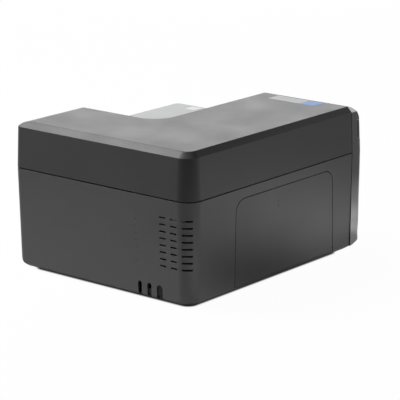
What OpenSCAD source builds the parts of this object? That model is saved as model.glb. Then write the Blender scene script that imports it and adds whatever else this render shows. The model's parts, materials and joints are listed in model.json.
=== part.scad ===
// Desktop inkjet printer for plastic cards: L-shaped hinged top cover over a
// flatbed card shuttle, a print carriage, a card hopper and an output tray.
// X runs from the side door to the closed end, Y from the front to the rear.

/* [Overall size] */
// Width, from the side door to the closed right end
body_w = 326; // [300:1:400]
// Depth, from the front panel to the rear wall
body_d = 396; // [380:1:480]
// Height from the desk to the top face
body_h = 215.5; // [213:0.5:260]
// Height of the seam between base and top cover
seam_z = 148; // [146:0.5:180]
// Height of the rubber feet under the base
foot_h = 3; // [2:0.5:6]
// Width of the left bar of the L-shaped cover
bar_w = 174; // [170:1:210]
// Depth of the rear bar of the L-shaped cover
bar_d = 136; // [132:1:165]

/* [Casing] */
// Wall thickness of the moulded casings
wall = 3; // [2:0.25:3.5]
// Gap at the seam between base and cover
seam_gap = 1.4; // [1:0.1:2]
// How far each wall of the base leans in at the bottom
base_lean = 2.8; // [2:0.1:6]
// How far each side of the front panel leans in at the bottom
panel_lean = 1.6; // [0:0.1:4]
// How far each wall of the cover leans in below its chamfer
cover_lean = 2.3; // [1:0.1:4]
// Width and height of the chamfer round the cover's top
chamfer = 8; // [4:0.5:9]
// Radius of the upright corner at the rear left
rear_left_r = 24; // [14:1:26]
// Radius of the other upright corners
corner_r = 11; // [10.5:0.5:14]
// Radius inside the elbow of the L
elbow_r = 26; // [12:1:28]
// Depth of the glossy front panel
panel_t = 27; // [24:1:32]
// Gap between front panel, base and cover
panel_gap = 1; // [0.4:0.1:1.2]

/* [Side door] */
// Width of the side door
door_w = 222; // [180:1:230]
// Distance of the door from the rear wall
door_rear = 99; // [90:1:110]
// Drop of the door's top edge below the seam
door_drop = 16; // [12:1:24]
// Radius of the door's top corners
door_r = 18; // [8:1:24]
// Gap round the side door
door_gap = 1; // [0.6:0.1:1.5]
// How much the door widens towards the front at its foot
door_flare = 5; // [0:0.5:8]

/* [Vents and cable notches] */
// Rows of vent slots
vent_rows = 8; // [4:1:9]
// Distance between the rows of vent slots
vent_pitch = 9.8; // [8:0.1:11]
// Height of one vent slot
vent_h = 2.4; // [1.5:0.1:3]
// Height of the cable notches in the rear wall
notch_h = 20; // [14:1:24]

/* [Card path] */
// Length of a card
card_l = 85.6; // [85:0.1:86]
// Width of a card
card_w = 54; // [53:0.1:55]
// Height of the chassis deck above the desk
deck_z = 93; // [90:1:96]
// Diameter of the shuttle rods
shuttle_rod_d = 6; // [5:0.5:7]
// Diameter of the carriage rod
carriage_rod_d = 8; // [6:0.5:9]
// Radial running clearance of shafts and rods
run = 0.05; // [0.02:0.01:0.08]
// Diameter of the pick roller
pick_d = 16; // [14:0.5:16]
// Diameter of the cleaning roller
clean_d = 12; // [10:0.5:12]

/* [Hidden] */

eps = 0.02;
big = 600;
xl = -body_w / 2;
xr = body_w / 2;
yf = -body_d / 2;
yr = body_d / 2;

// Casing levels
base_z0 = foot_h + 1;
base_z1 = seam_z - seam_gap / 2 - 0.1;
cover_z0 = seam_z + seam_gap / 2 - 0.1;
chamfer_z = body_h - chamfer;
top_inset = cover_lean + chamfer;
bevel = 3;
notch_x = xl + bar_w;
notch_y = yr - bar_d;
panel_y = yf + panel_t;
end_top_r = 22;
end_bottom_r = 20;
nose_top = [panel_t, 64];
nose_bottom = [46, 18];
elbow = [notch_x + elbow_r, notch_y - elbow_r];

// Inset of the base's outer wall at height z
function lean(z) = base_lean * (base_z1 - z) / (base_z1 - base_z0 - bevel);
// Inner face of the base's rear and left walls at height z
function rear_in(z) = yr - wall - lean(z);
function left_in(z) = xl + wall + lean(z);

// Bottom pan and its feet
pan_z = foot_h;
pan_t = 3;
pan_top = pan_z + pan_t;
pan_x0 = xl + base_lean + 6;
pan_x1 = xr - base_lean - end_bottom_r - 1;
pan_y0 = yf + nose_bottom[0] + 2;
pan_y1 = yr - base_lean - 6;
foot_r = 9;

// Cover hinge, on the rear wall
hinge_y = yr - 3.6;
hinge_z = base_z1 + 5.4;
hinge_clear_r = 5;
hinge_x = body_w / 2 - 53;
barrel_r = 2.2;
pin_d = 2;
lug_w = 6;
tongue_w = 8;
lug_gap = 0.4;

// Side door and its hinge
door_y1 = yr - door_rear;
door_y0 = door_y1 - door_w;
door_foot_y0 = door_y0 - door_flare;
door_z1 = seam_z - door_drop;
door_face = 3.8;
door_clear_r = 1.42 * door_face;
door_axis_z = pan_top + door_clear_r + 0.4;
door_axis_x = left_in(door_axis_z) - wall + door_face;
door_station = 22;

// Card lanes
lane_x = xr - 63;
shuttle_y = yr - 70;
head_x = xl + 73;
rod_gap = 56;
rod_z = deck_z + 11;
shuttle_top = deck_z + 18.5;
shuttle_w = 66;
shuttle_l = 92;
plate_t = 4;

// Shuttle drive
belt_t = 1.2;
belt_h = 5;
pulley_r = 8;
belt_gap = 0.2;
belt_z = deck_z + 6.2;
drive_x = xl + 32;
idle_x = xr - 32;

// Print carriage and its drive
rod_x = xl + 118;
carriage_rod_z = deck_z + 47;
carriage_z = shuttle_top + 2.5;
carriage_w = 70;
carriage_l = 60;
carriage_x0 = head_x - carriage_w / 2;
carriage_x1 = head_x + carriage_w / 2 - 2;
carriage_park = yf + 88;
plate_y0 = yf + 36;
plate_y1 = yr - 17.2;
frame_t = 2.4;
drive_plane = rod_x + 15;
drive_z = carriage_rod_z + 10;
drive_pulley_r = 7;
front_pulley_y = plate_y0 + 17;
rear_pulley_y = plate_y1 - 14;
cradle_h = 44;
latch_z = carriage_z + cradle_h + 5;

// Hopper in the notch
hopper_x1 = xr - 8;
hopper_x0 = max(notch_x + 8, hopper_x1 - 113);
hopper_y1 = notch_y - 6;
hopper_y0 = yf + 47;
hopper_z0 = base_z1;
hopper_z1 = seam_z + 28;
lid_z0 = hopper_z1 + 0.4;
lid_t = 5.8;
lid_axis_y = hopper_y1 - 3;
lid_axis_z = lid_z0 + lid_t / 2;
lid_station = 77;
mag_y = notch_y - 66;
mag_w = card_w + 2;
mag_l = card_l + 2.4;
mag_z = deck_z + 20;
mag_floor = 3;

// Pick drive
pick_y = mag_y - 26;
pick_z = mag_z + mag_floor + 0.3 - pick_d / 2;
pick_plate = 36;
gear_m = 1;
pinion_n = 12;
idler_n = 23;
gear_n = 32;
gear_x = lane_x + pick_plate + 4.5;
gear_w = 5;
idler_y = pick_y - gear_m * (gear_n + idler_n) / 2;
pinion_y = idler_y - gear_m * (idler_n + pinion_n) / 2;

// Cleaning cartridge
clean_z = shuttle_top + 6.5;
clean_y0 = shuttle_y - 58;
clean_l = 119;
clean_w = 66;
clean_h = 18;
clean_axis_y = clean_y0 + 9;
clean_axis_z = clean_z + 6;

// Output
chute_w = 72;
chute_z0 = 54;
chute_z1 = 108;
chute_l = 98;
tray_l = 92;

// Vents, cable bay and fan
vent_z = seam_z - 26.5;
bay_x0 = xl + 45;
bay_x1 = xl + 103;
bay_l = 42;
bay_h = 35;
fan_x = xl + 53;
fan_z = deck_z - 11;
fan_s = 60;
fan_t = 15;
fan_y = yr - 22;

// A quarter-round (or quarter-ellipse) corner to cut away, pointing at +x +z
module round_corner(p, rx, rz, m = 8, n = 14) {
    polygon(concat([[p[0] + m, p[1] + m], [p[0] - rx, p[1] + m]],
        [for (i = [0:n]) [p[0] - rx + rx * sin(90 * i / n), p[1] - rz + rz * cos(90 * i / n)]],
        [[p[0] + m, p[1] - rz]]));
}

// A profile drawn in XZ, extruded along Y
module along_y(len = big) { rotate([90, 0, 0]) linear_extrude(len, center = true) children(); }

// A profile drawn in YZ, extruded along X
module along_x(len = big) {
    rotate([90, 0, 90]) linear_extrude(len, center = true) children();
}

// A rectangle between two corners with rounded corners
module rounded(x0, x1, y0, y1, r) {
    translate([x0 + r, y0]) square([x1 - x0 - 2 * r, y1 - y0]);
    translate([x0, y0 + r]) square([x1 - x0, y1 - y0 - 2 * r]);
    for (x = [x0 + r, x1 - r], y = [y0 + r, y1 - r]) translate([x, y]) circle(r, $fn = 48);
}

module block(x0, x1, y0, y1, z0, z1) {
    translate([x0, y0, z0]) cube([x1 - x0, y1 - y0, z1 - z0]);
}

module rod_x(d, x0, x1, y, z) {
    translate([x0, y, z]) rotate([0, 90, 0]) cylinder(d = d, h = x1 - x0, $fn = 48);
}

module rod_y(d, y0, y1, x, z) {
    translate([x, y1, z]) rotate([90, 0, 0]) cylinder(d = d, h = y1 - y0, $fn = 48);
}

module rod_z(d, z0, z1, x, y) {
    translate([x, y, z0]) cylinder(d = d, h = z1 - z0, $fn = 48);
}

// A leaning box: at each level [z, inset] its upright corners keep their centres
min_corner_r = 0.7;
module leaning_box(x0, x1, y0, y1, r, levels) {
    corners = [[x0 + r[0], y0 + r[0], r[0]], [x1 - r[1], y0 + r[1], r[1]],
        [x1 - r[2], y1 - r[2], r[2]], [x0 + r[3], y1 - r[3], r[3]]];
    hull() for (level = levels, c = corners) translate([c[0], c[1], level[0]])
        cylinder(r = max(c[2] - level[1], min_corner_r), h = eps, $fn = c[2] > 16 ? 96 : 48);
}

// The base's outer form (t = 0) or its cavity (t = wall)
module base_form(t) {
    difference() {
        leaning_box(xl + t, xr - t, yf + t, yr - t,
            [corner_r - t, corner_r - t, corner_r - t, rear_left_r - t],
            t == 0 ? [[base_z0, base_lean + 2], [base_z0 + bevel, base_lean], [base_z1 - eps, 0]]
                : [[base_z0 + t, lean(base_z0 + t)], [base_z1 - eps, 0], [base_z1 + 2, 0]]);
        along_y() mirror([0, 1]) round_corner([xr - base_lean - t, -base_z0 - t],
            end_bottom_r - t, end_bottom_r - t);
        along_x() mirror([1, 0]) mirror([0, 1]) round_corner([-yf - base_lean / 2 - t, -base_z0 - t],
            nose_bottom[0] - t, nose_bottom[1] - t);
    }
}

// The left bar from the desk up, shared by the cover and the front panel
module left_bar(t, z0, levels) {
    leaning_box(xl + t, notch_x - t, yf + t, yr - t,
        [corner_r - t, corner_r - t, corner_r - t, rear_left_r - t], levels);
}

// Levels of the cover's outer form (t = 0) or its cavity (t = wall)
function cover_levels(t) = t == 0
    ? [[cover_z0, 0], [chamfer_z, cover_lean], [body_h - eps, top_inset]]
    : [[cover_z0 - 1, 0], [chamfer_z - t * 0.4, cover_lean], [body_h - t, top_inset - t * 0.5]];

module cover_form(t) {
    levels = cover_levels(t);
    top = levels[2][0] + eps;
    difference() {
        union() {
            left_bar(t, cover_z0, levels);
            leaning_box(xl + bar_w / 3, xr - t, notch_y + t, yr - t,
                [corner_r - t, corner_r - t, corner_r - t, corner_r - t], levels);
            difference() {
                block(elbow[0] - elbow_r - 14, elbow[0], elbow[1], elbow[1] + elbow_r + 14,
                    levels[0][0], top);
                translate([elbow[0], elbow[1], 0]) rotate_extrude($fn = 96)
                    polygon([[0, levels[0][0] - 1], [elbow_r + t, levels[0][0] - 1],
                        for (l = levels) [elbow_r + t + l[1], l[0]],
                        [elbow_r + t + levels[2][1], top + 1], [0, top + 1]]);
            }
        }
        along_y() round_corner([xr - t, body_h - t], end_top_r - t, end_top_r - t);
    }
}

// Outline of the side door in YZ, grown by g
module door_outline(g) {
    difference() {
        union() {
            rounded(door_y0 - g, door_y1 + g, -door_r * 2, door_z1 + g, door_r + g);
            polygon([[door_y0 - g, door_z1 - door_r], [door_foot_y0 - g, 0], [door_y0 + door_r, 0],
                [door_y0 + door_r, door_z1 - door_r]]);
        }
        translate([-big, -big]) square([2 * big, big]);
    }
}

// A spur gear about X, with a tooth centred at angle a0
module gear(n, w, bore, a0) {
    rp = gear_m * n / 2;
    rotate([90, 0, 90]) linear_extrude(w) difference() {
        union() {
            circle(rp - 1.15 * gear_m, $fn = 64);
            for (i = [0:n - 1]) rotate(a0 + i * 360 / n)
                polygon([[rp - 1.5 * gear_m, -0.85 * gear_m], [rp - 0.1, -0.62 * gear_m],
                    [rp + 0.75 * gear_m, -0.3 * gear_m], [rp + 0.75 * gear_m, 0.3 * gear_m],
                    [rp - 0.1, 0.62 * gear_m], [rp - 1.5 * gear_m, 0.85 * gear_m]]);
        }
        circle(d = bore, $fn = 48);
    }
}

// A flat ring belt round two pulleys, drawn in its own plane
module belt_ring(a, b, r) {
    difference() {
        union() {
            translate(a) circle(r + belt_t, $fn = 64);
            translate(b) circle(r + belt_t, $fn = 64);
            translate([a[0], a[1] - r - belt_t]) square([b[0] - a[0], 2 * (r + belt_t)]);
        }
        translate(a) circle(r, $fn = 64);
        translate(b) circle(r, $fn = 64);
        translate([a[0], a[1] - r]) square([b[0] - a[0], 2 * r]);
    }
}

// A flanged belt pulley about Z, centred on the belt
module pulley(r, bore) {
    difference() {
        union() {
            cylinder(r = r, h = belt_h + 1, center = true, $fn = 48);
            for (s = [-1, 1]) translate([0, 0, s * (belt_h / 2 + 0.7)])
                cylinder(r = r + 1.2, h = 0.8, center = true, $fn = 48);
            translate([0, 0, belt_h / 2 + 1]) cylinder(r = r * 0.6, h = 2.4, $fn = 48);
        }
        cylinder(d = bore, h = 40, center = true, $fn = 32);
        for (i = [0:23]) rotate(i * 15) translate([r, 0, 0]) cube([0.8, 0.7, belt_h - 1], center = true);
    }
}

// Base

module vent_cuts() {
    for (i = [0:vent_rows - 1]) {
        z = vent_z - i * vent_pitch;
        for (x = [xl + 43.8, xl + 24.6]) translate([x, yr - 14, z - vent_h / 2]) cube([11, 20, vent_h]);
        translate([xl + rear_left_r, yr - rear_left_r, z]) rotate(135)
            translate([8, -10, -vent_h / 2]) cube([24, 14.8, vent_h]);
        translate([xl + 97.7, yr + 2, z]) rotate([90, 0, 0]) cylinder(d = 1.5, h = 14, $fn = 16);
    }
}

// Cable notches as [distance from the side door plane, width]
cable_notches = [[51.4, 10.4], [71.6, 7.4], [89, 6.8]];

module cable_cuts() {
    for (n = cable_notches) translate([xl + n[0] + n[1] / 2, yr + 2, 0]) rotate([90, 0, 0])
        linear_extrude(16) {
            translate([-n[1] / 2, 0]) square([n[1], base_z0 + notch_h - n[1] / 2]);
            translate([0, base_z0 + notch_h - n[1] / 2]) circle(d = n[1], $fn = 32);
        }
}

module notch_floor() {
    block(notch_x - wall, xr, yf, notch_y + wall, base_z1 - wall, base_z1 + 1);
}

module base_shell() {
    color("#2c2d30") difference() {
        union() {
            difference() {
                base_form(0);
                difference() {
                    base_form(wall);
                    notch_floor();
                    block(xl - 1, notch_x + panel_gap + wall, yf - 1, panel_y + panel_gap + wall, 0,
                        seam_z + 5);
                }
                block(xl - 1, notch_x + panel_gap, yf - 1, panel_y + panel_gap, -1, seam_z + 5);
            }
            for (sx = [-1, 1], sz = [-1, 1])
                rod_y(6, fan_y + fan_t, rear_in(fan_z) + 1.5, fan_x + sx * 25, fan_z + sz * 25);
        }
        // Opening for the base pan
        linear_extrude(base_z0 + wall + 1)
            rounded(pan_x0 - 0.3, pan_x1 + 0.3, pan_y0 - 0.3, pan_y1 + 0.3, corner_r);
        // Side door opening and the room its lower edge turns in
        translate([xl, 0, 0]) intersection() {
            along_x(60) door_outline(door_gap);
            block(-20, 20, -big, big, door_axis_z - door_face - 0.4, seam_z);
        }
        rod_y(2 * door_clear_r + 0.8, door_foot_y0 - door_gap, door_y1 + door_gap, door_axis_x,
            door_axis_z);
        vent_cuts();
        cable_cuts();
        // Card magazine and output chute
        block(lane_x - mag_w / 2 - 3.6, lane_x + mag_w / 2 + 3.6, mag_y - mag_l / 2 - 3.6,
            mag_y + mag_l / 2 + 3.6, base_z1 - 10, base_z1 + 2);
        output_opening();
    }
}

// The output opening in the front wall
module output_opening() {
    translate([0, yf + 15, 0]) along_y(40)
        rounded(lane_x - chute_w / 2 - 0.2, lane_x + chute_w / 2 + 0.2, chute_z0 - 0.2, chute_z1 + 0.2, 4.2);
}

module base_pan() {
    color("#1b1c1e") {
        difference() {
            translate([0, 0, pan_z]) linear_extrude(pan_t)
                rounded(pan_x0, pan_x1, pan_y0, pan_y1, corner_r);
            block(bay_x0 + 1.6, bay_x1 - 1.6, pan_y1 - bay_l + 1.6, pan_y1 + 1, -1, pan_top + 1);
            // Rows of louvres under the power supply
            for (i = [0:6]) block(xr - 120, xr - 60, notch_y - 20 + i * 8, notch_y - 16 + i * 8, -1,
                pan_top + 1);
        }
        // Hood over the cable bay, open below and to the rear notches
        difference() {
            block(bay_x0, bay_x1, pan_y1 - bay_l, pan_y1 - 0.5, pan_top - 1, pan_top + bay_h);
            block(bay_x0 + 1.6, bay_x1 - 1.6, pan_y1 - bay_l + 1.6, pan_y1 + 1, -1, pan_top + bay_h - 1.6);
        }
    }
}

feet = [[pan_x0 + 14, pan_y1 - 14], [pan_x1 - 14, pan_y1 - 14], [pan_x0 + 14, pan_y0 + 14],
    [pan_x1 - 14, pan_y0 + 14]];

module rubber_feet() {
    color("#151515") for (f = feet) translate([f[0], f[1], 0]) rotate_extrude($fn = 48)
        polygon([[0, 0], [foot_r - 1, 0], [foot_r, 1], [foot_r - 0.4, foot_h], [0, foot_h]]);
}

module panel_form(t) {
    difference() {
        left_bar(t, base_z0, [[base_z0 + t, panel_lean], [seam_z, 0], [chamfer_z - t * 0.4, cover_lean],
            [body_h - t - eps, top_inset - t * 0.5]]);
        along_x() mirror([1, 0]) round_corner([-yf - t, body_h - t], nose_top[0] - t, nose_top[1] - t);
        along_x() mirror([1, 0]) mirror([0, 1]) round_corner([-yf - panel_lean / 2 - t, -base_z0 - t],
            nose_bottom[0] - t, nose_bottom[1] - t);
        block(-big, big, panel_y + t * 10, big, -1, big);
    }
}

// Status window and buttons on the front panel
window_z1 = min(seam_z + 47, body_h - 20.5);
window_z0 = window_z1 - 29;
window_back = yf + 14;
button_x = [notch_x - 40, notch_x - 66];
button_z = seam_z + 4;
button_r = 6.5;

module front_panel() {
    color("#17181b") difference() {
        panel_form(0);
        panel_form(wall);
        block(xl - 1, button_x[1] - 14, yf - 1, window_back, window_z0, window_z1);
        for (x = button_x) rod_y(2 * button_r + 0.8, yf - 1, yf + 6, x, button_z);
    }
    // Snap posts that meet the base's front wall
    color("#17181b") for (x = [xl + 20, notch_x - 20], z = [40, 110])
        rod_y(7, yf + wall - 0.5, panel_y + panel_gap, x, z);
}

module status_window() {
    color("#26303a") intersection() {
        difference() {
            panel_form(0.3);
            panel_form(wall - 0.4);
        }
        block(xl - 1, button_x[1] - 14.3, yf - 1, window_back - 0.3, window_z0 + 0.3, window_z1 - 0.3);
    }
}

module panel_board() {
    color("#1d5c3a") difference() {
        block(xl + 12, notch_x - 12, yf + 12, yf + 13.6, seam_z - 14, window_z1 - 4);
        for (x = [xl + 20, notch_x - 20]) rod_y(8, yf + 10, yf + 16, x, 140);
    }
    color("#d8d8d0") for (i = [0:2]) translate([xl + 30 + i * 12, yf + 12, (window_z0 + window_z1) / 2])
        rotate([90, 0, 0]) cylinder(d = 5, h = 3, $fn = 24);
    color("#d8d8d0") for (x = button_x) rod_y(5, yf + 9.6, yf + 12, x, button_z);
}

module panel_button(x) {
    color("#3a3d42") difference() {
        union() {
            rod_y(2 * button_r, yf + 0.4, yf + 4, x, button_z);
            rod_y(2 * button_r + 3, yf + 4, yf + 5.6, x, button_z);
            rod_y(4, yf + 5.6, yf + 7.8, x, button_z);
        }
        translate([x, yf - 23, button_z]) sphere(r = 24, $fn = 64);
    }
}

module power_button() { panel_button(button_x[0]); }
module feed_button() { panel_button(button_x[1]); }

module output_chute() {
    color("#1b1c1e") difference() {
        union() {
            // Rounded frame round the opening
            translate([0, yf + 10, 0]) along_y(12) rounded(lane_x - chute_w / 2, lane_x + chute_w / 2,
                chute_z0, chute_z1, 4);
            translate([0, yf + 2.4, 0]) along_y(4) rounded(lane_x - chute_w / 2, lane_x + chute_w / 2,
                chute_z0, chute_z1, 4);
            // Channel that carries the tray
            block(lane_x - 34.5, lane_x + 34.5, yf + 14, yf + chute_l, chute_z0, chute_z1);
        }
        block(lane_x - 31.5, lane_x + 31.5, yf - 5, yf + chute_l - wall, chute_z0 + 3.5, chute_z1 - 3.5);
        block(lane_x - 24, lane_x + 24, yf + 30, yf + chute_l + 1, chute_z0 + 32, chute_z1 - 3.5);
    }
}

module output_tray() {
    color("#2f3033") {
        y0 = yf + 1.5;
        z0 = chute_z0 + 3.8;
        difference() {
            block(lane_x - 31, lane_x + 31, y0, y0 + tray_l, z0, z0 + 22);
            block(lane_x - 29, lane_x + 29, y0 + 2.5, y0 + tray_l - 2, z0 + 2, z0 + 23);
            // Thumb cut-out in the front wall
            translate([lane_x, y0 + 5, z0 + 24]) rotate([90, 0, 0]) cylinder(r = 14, h = 20, $fn = 64);
        }
        for (x = [-18, 0, 18]) block(lane_x + x - 1, lane_x + x + 1, y0 + 2.5, y0 + tray_l - 2,
            z0 + 1.9, z0 + 3.2);
    }
}

// Hopper

module hopper_body() {
    color("#2a2b2e") difference() {
        union() {
            difference() {
                translate([0, 0, hopper_z0]) linear_extrude(hopper_z1 - hopper_z0)
                    rounded(hopper_x0, hopper_x1, hopper_y0, hopper_y1, 10);
                translate([0, 0, hopper_z0 - 1]) linear_extrude(hopper_z1 - hopper_z0 + 1 - wall)
                    rounded(hopper_x0 + 2.5, hopper_x1 - 2.5, hopper_y0 + 2.5, hopper_y1 - 2.5, 7.5);
            }
            // Magazine
            block(lane_x - mag_w / 2 - 3, lane_x + mag_w / 2 + 3, mag_y - mag_l / 2 - 3,
                mag_y + mag_l / 2 + 3, mag_z, hopper_z1 - 0.5);
            // Hinge tongues for the lid
            for (s = [-1, 1]) translate([(hopper_x0 + hopper_x1) / 2 + s * lid_station / 2, 0, 0])
                lid_tongue();
        }
        block(lane_x - mag_w / 2, lane_x + mag_w / 2, mag_y - mag_l / 2, mag_y + mag_l / 2,
            mag_z + mag_floor, hopper_z1 + 1);
        // Pick roller window, card slot and finger slots
        block(lane_x - 13, lane_x + 13, pick_y - 9, pick_y + 9, mag_z - 1, mag_z + 5);
        block(lane_x - card_w / 2 - 0.6, lane_x + card_w / 2 + 0.6, mag_y, mag_y + mag_l / 2 + 4,
            mag_z + mag_floor, mag_z + mag_floor + 1.6);
        for (y = [-1, 1]) translate([lane_x, mag_y + y * mag_l / 2, hopper_z1]) rotate([90, 0, 0])
            cylinder(r = 14, h = 7, center = true, $fn = 48);
        for (s = [-1, 1]) rod_x(pin_d + 2 * run, (hopper_x0 + hopper_x1) / 2 + s * lid_station / 2 - 12,
            (hopper_x0 + hopper_x1) / 2 + s * lid_station / 2 + 12, lid_axis_y, lid_axis_z);
    }
}

module lid_tongue() {
    rod_x(2 * barrel_r, -tongue_w / 2, tongue_w / 2, lid_axis_y, lid_axis_z);
    block(-tongue_w / 2, tongue_w / 2, lid_axis_y - barrel_r, lid_axis_y + barrel_r, hopper_z1 - 2,
        lid_axis_z);
}

module hopper_lid() {
    mid = (hopper_x0 + hopper_x1) / 2;
    color("#b9bcbe") difference() {
        union() {
            translate([0, 0, lid_z0]) linear_extrude(lid_t - 1.2)
                rounded_lid(0);
            translate([0, 0, lid_z0 + lid_t - 1.3]) linear_extrude(1.3)
                rounded_lid(1.2);
            rod_x(lid_t, hopper_x0 + 1, hopper_x1 - 1, lid_axis_y, lid_axis_z);
        }
        // Hollow underside with a stiff rim
        difference() {
            translate([0, 0, lid_z0 - 1]) linear_extrude(lid_t + 1 - 2.2)
                rounded(hopper_x0 + 2.6, hopper_x1 - 2.6, hopper_y0 + 2.6, lid_axis_y - 6, 8);
            for (x = [mid - 20, mid + 20]) block(x - 1, x + 1, hopper_y0, hopper_y1, lid_z0, lid_z0 + lid_t);
            block(window_x0 - 2, window_x1 + 2, window_y0 - 2, window_y1 + 2, lid_z0, lid_z0 + lid_t);
        }
        block(window_x0, window_x1, window_y0, window_y1, lid_z0 - 1, lid_z0 + lid_t + 1);
        // Room for the tongues
        for (s = [-1, 1]) block(mid + s * lid_station / 2 - tongue_w / 2 - lug_gap,
            mid + s * lid_station / 2 + tongue_w / 2 + lug_gap, lid_axis_y - 3.4, hopper_y1 + 3,
            lid_z0 - 1, lid_z0 + lid_t + 1);
        for (s = [-1, 1]) rod_x(pin_d, mid + s * lid_station / 2 - 11, mid + s * lid_station / 2 + 11,
            lid_axis_y, lid_axis_z);
        // Finger scoop at the front
        translate([mid, hopper_y0 - 6, lid_z0 - 4]) cylinder(r = 14, h = 5.5, $fn = 64);
    }
}

module rounded_lid(g) {
    difference() {
        rounded(hopper_x0 + g, hopper_x1 - g, hopper_y0 + g, hopper_y1 - g, 9);
        translate([hopper_x0 - 5, lid_axis_y]) square([hopper_x1 - hopper_x0 + 10, 20]);
    }
}

window_x0 = hopper_x1 - 53.5;
window_x1 = hopper_x1 - 35.5;
window_y0 = hopper_y0 + 6;
window_y1 = hopper_y0 + 24;

module hopper_window() {
    color("#f2f4f5") {
        block(window_x0, window_x1, window_y0, window_y1, lid_z0 + 0.6, lid_z0 + lid_t);
    }
}

module lid_hinge_pins() {
    color("#c9ccd0") for (s = [-1, 1])
        rod_x(pin_d, (hopper_x0 + hopper_x1) / 2 + s * lid_station / 2 - 11,
            (hopper_x0 + hopper_x1) / 2 + s * lid_station / 2 + 11, lid_axis_y, lid_axis_z);
}

weight_z = mag_z + mag_floor + 1.2;

module card_weight() {
    color("#3a5f9e") difference() {
        union() {
            translate([0, 0, weight_z]) linear_extrude(7) rounded(lane_x - mag_w / 2 + 1,
                lane_x + mag_w / 2 - 1, mag_y - mag_l / 2 + 1, mag_y + mag_l / 2 - 1, 3);
            block(lane_x - 16, lane_x + 16, mag_y - 2, mag_y + 2, weight_z + 6, weight_z + 20);
        }
        for (y = [-28, 28]) translate([0, y + mag_y, weight_z + 3]) linear_extrude(8)
            rounded(lane_x - 20, lane_x + 20, -9, 9, 3);
    }
}

// Chassis

module chassis_deck() {
    x0 = xl + 14;
    x1 = xr - 14;
    y0 = panel_y + 12;
    y1 = yr - 12;
    color("#9a9da1") difference() {
        union() {
            block(x0, x1, y0, y1, deck_z, deck_z + 2);
            // Staked axle of the shuttle's idler pulley, and folded flanges
            rod_z(5, deck_z, belt_z + 6, idle_x, shuttle_y);
            rod_z(9, deck_z, deck_z + 2.3, idle_x, shuttle_y);
            block(x1 - 1.5, x1, y0 + 30, y1, deck_z - 12, deck_z + 1);
            block(x0 + 80, x1, y1 - 1.5, y1, deck_z - 12, deck_z + 1);
        }
        // Output chute, fan and gear clearance
        block(lane_x - 37, lane_x + 37, y0 - 1, yf + chute_l + 4, deck_z - 1, deck_z + 4);
        block(x0 - 1, fan_x + fan_s / 2 + 3, fan_y - 4, y1 + 1, deck_z - 1, deck_z + 4);
        block(gear_x - 1.5, gear_x + gear_w + 2, pinion_y - 12, pick_y + 21, deck_z - 1, deck_z + 4);
        rod_z(12, deck_z - 1, deck_z + 4, drive_x, shuttle_y);
        // Lightening holes and wire passages
        for (x = [-40, 0, 40]) rod_z(16, deck_z - 1, deck_z + 4, x + 10, shuttle_y - rod_gap / 2 - 14);
        block(xl + 120, xl + 150, -60, -20, deck_z - 1, deck_z + 4);
    }
}

posts = [[xl + 26, yr - 96], [xr - 34, yr - 24], [xl + 26, panel_y + 26], [xl + 150, panel_y + 26],
    [xr - 34, mag_y], [xl + 150, yr - 24], [xl + 178, notch_y - 40]];

module deck_posts() {
    color("#b5b8bc") for (p = posts) translate([p[0], p[1], 0]) {
        rod_z(9, pan_post(p[0], p[1]), deck_z, 0, 0);
        translate([0, 0, deck_z + 2]) rotate_extrude($fn = 32)
            polygon([[0, 0], [3.5, 0], [3.2, 1.4], [1.8, 2.2], [0, 2.2]]);
    }
}

// Foot level of a post: the pan's top, or the shell's floor outside the pan
function pan_post(x, y) = x > pan_x1 || y < pan_y0 ? base_z0 + wall + 2 : pan_top;

module shuttle_brackets() {
    color("#8f9296") for (x = [xl + 12, xr - 12 - plate_t]) difference() {
        union() {
            block(x, x + plate_t, shuttle_y - rod_gap / 2 - 9, shuttle_y + rod_gap / 2 + 9, deck_z + 2,
                rod_z + 7);
            block(x == xl + 12 ? x : x - 10, x == xl + 12 ? x + plate_t + 2 : x + plate_t,
                shuttle_y - rod_gap / 2 - 9, shuttle_y - rod_gap / 2 - 2, deck_z + 2, deck_z + 3.5);
        }
        for (s = [-1, 1]) rod_x(shuttle_rod_d, x - 1, x + plate_t + 1, shuttle_y + s * rod_gap / 2, rod_z);
        block(x - 1, x + plate_t + 1, shuttle_y - 16, shuttle_y + 16, deck_z + 9, rod_z + 8);
    }
}

module shuttle_rods() {
    color("#d5d8dc") for (s = [-1, 1])
        rod_x(shuttle_rod_d, xl + 12, xr - 12, shuttle_y + s * rod_gap / 2, rod_z);
}

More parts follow.
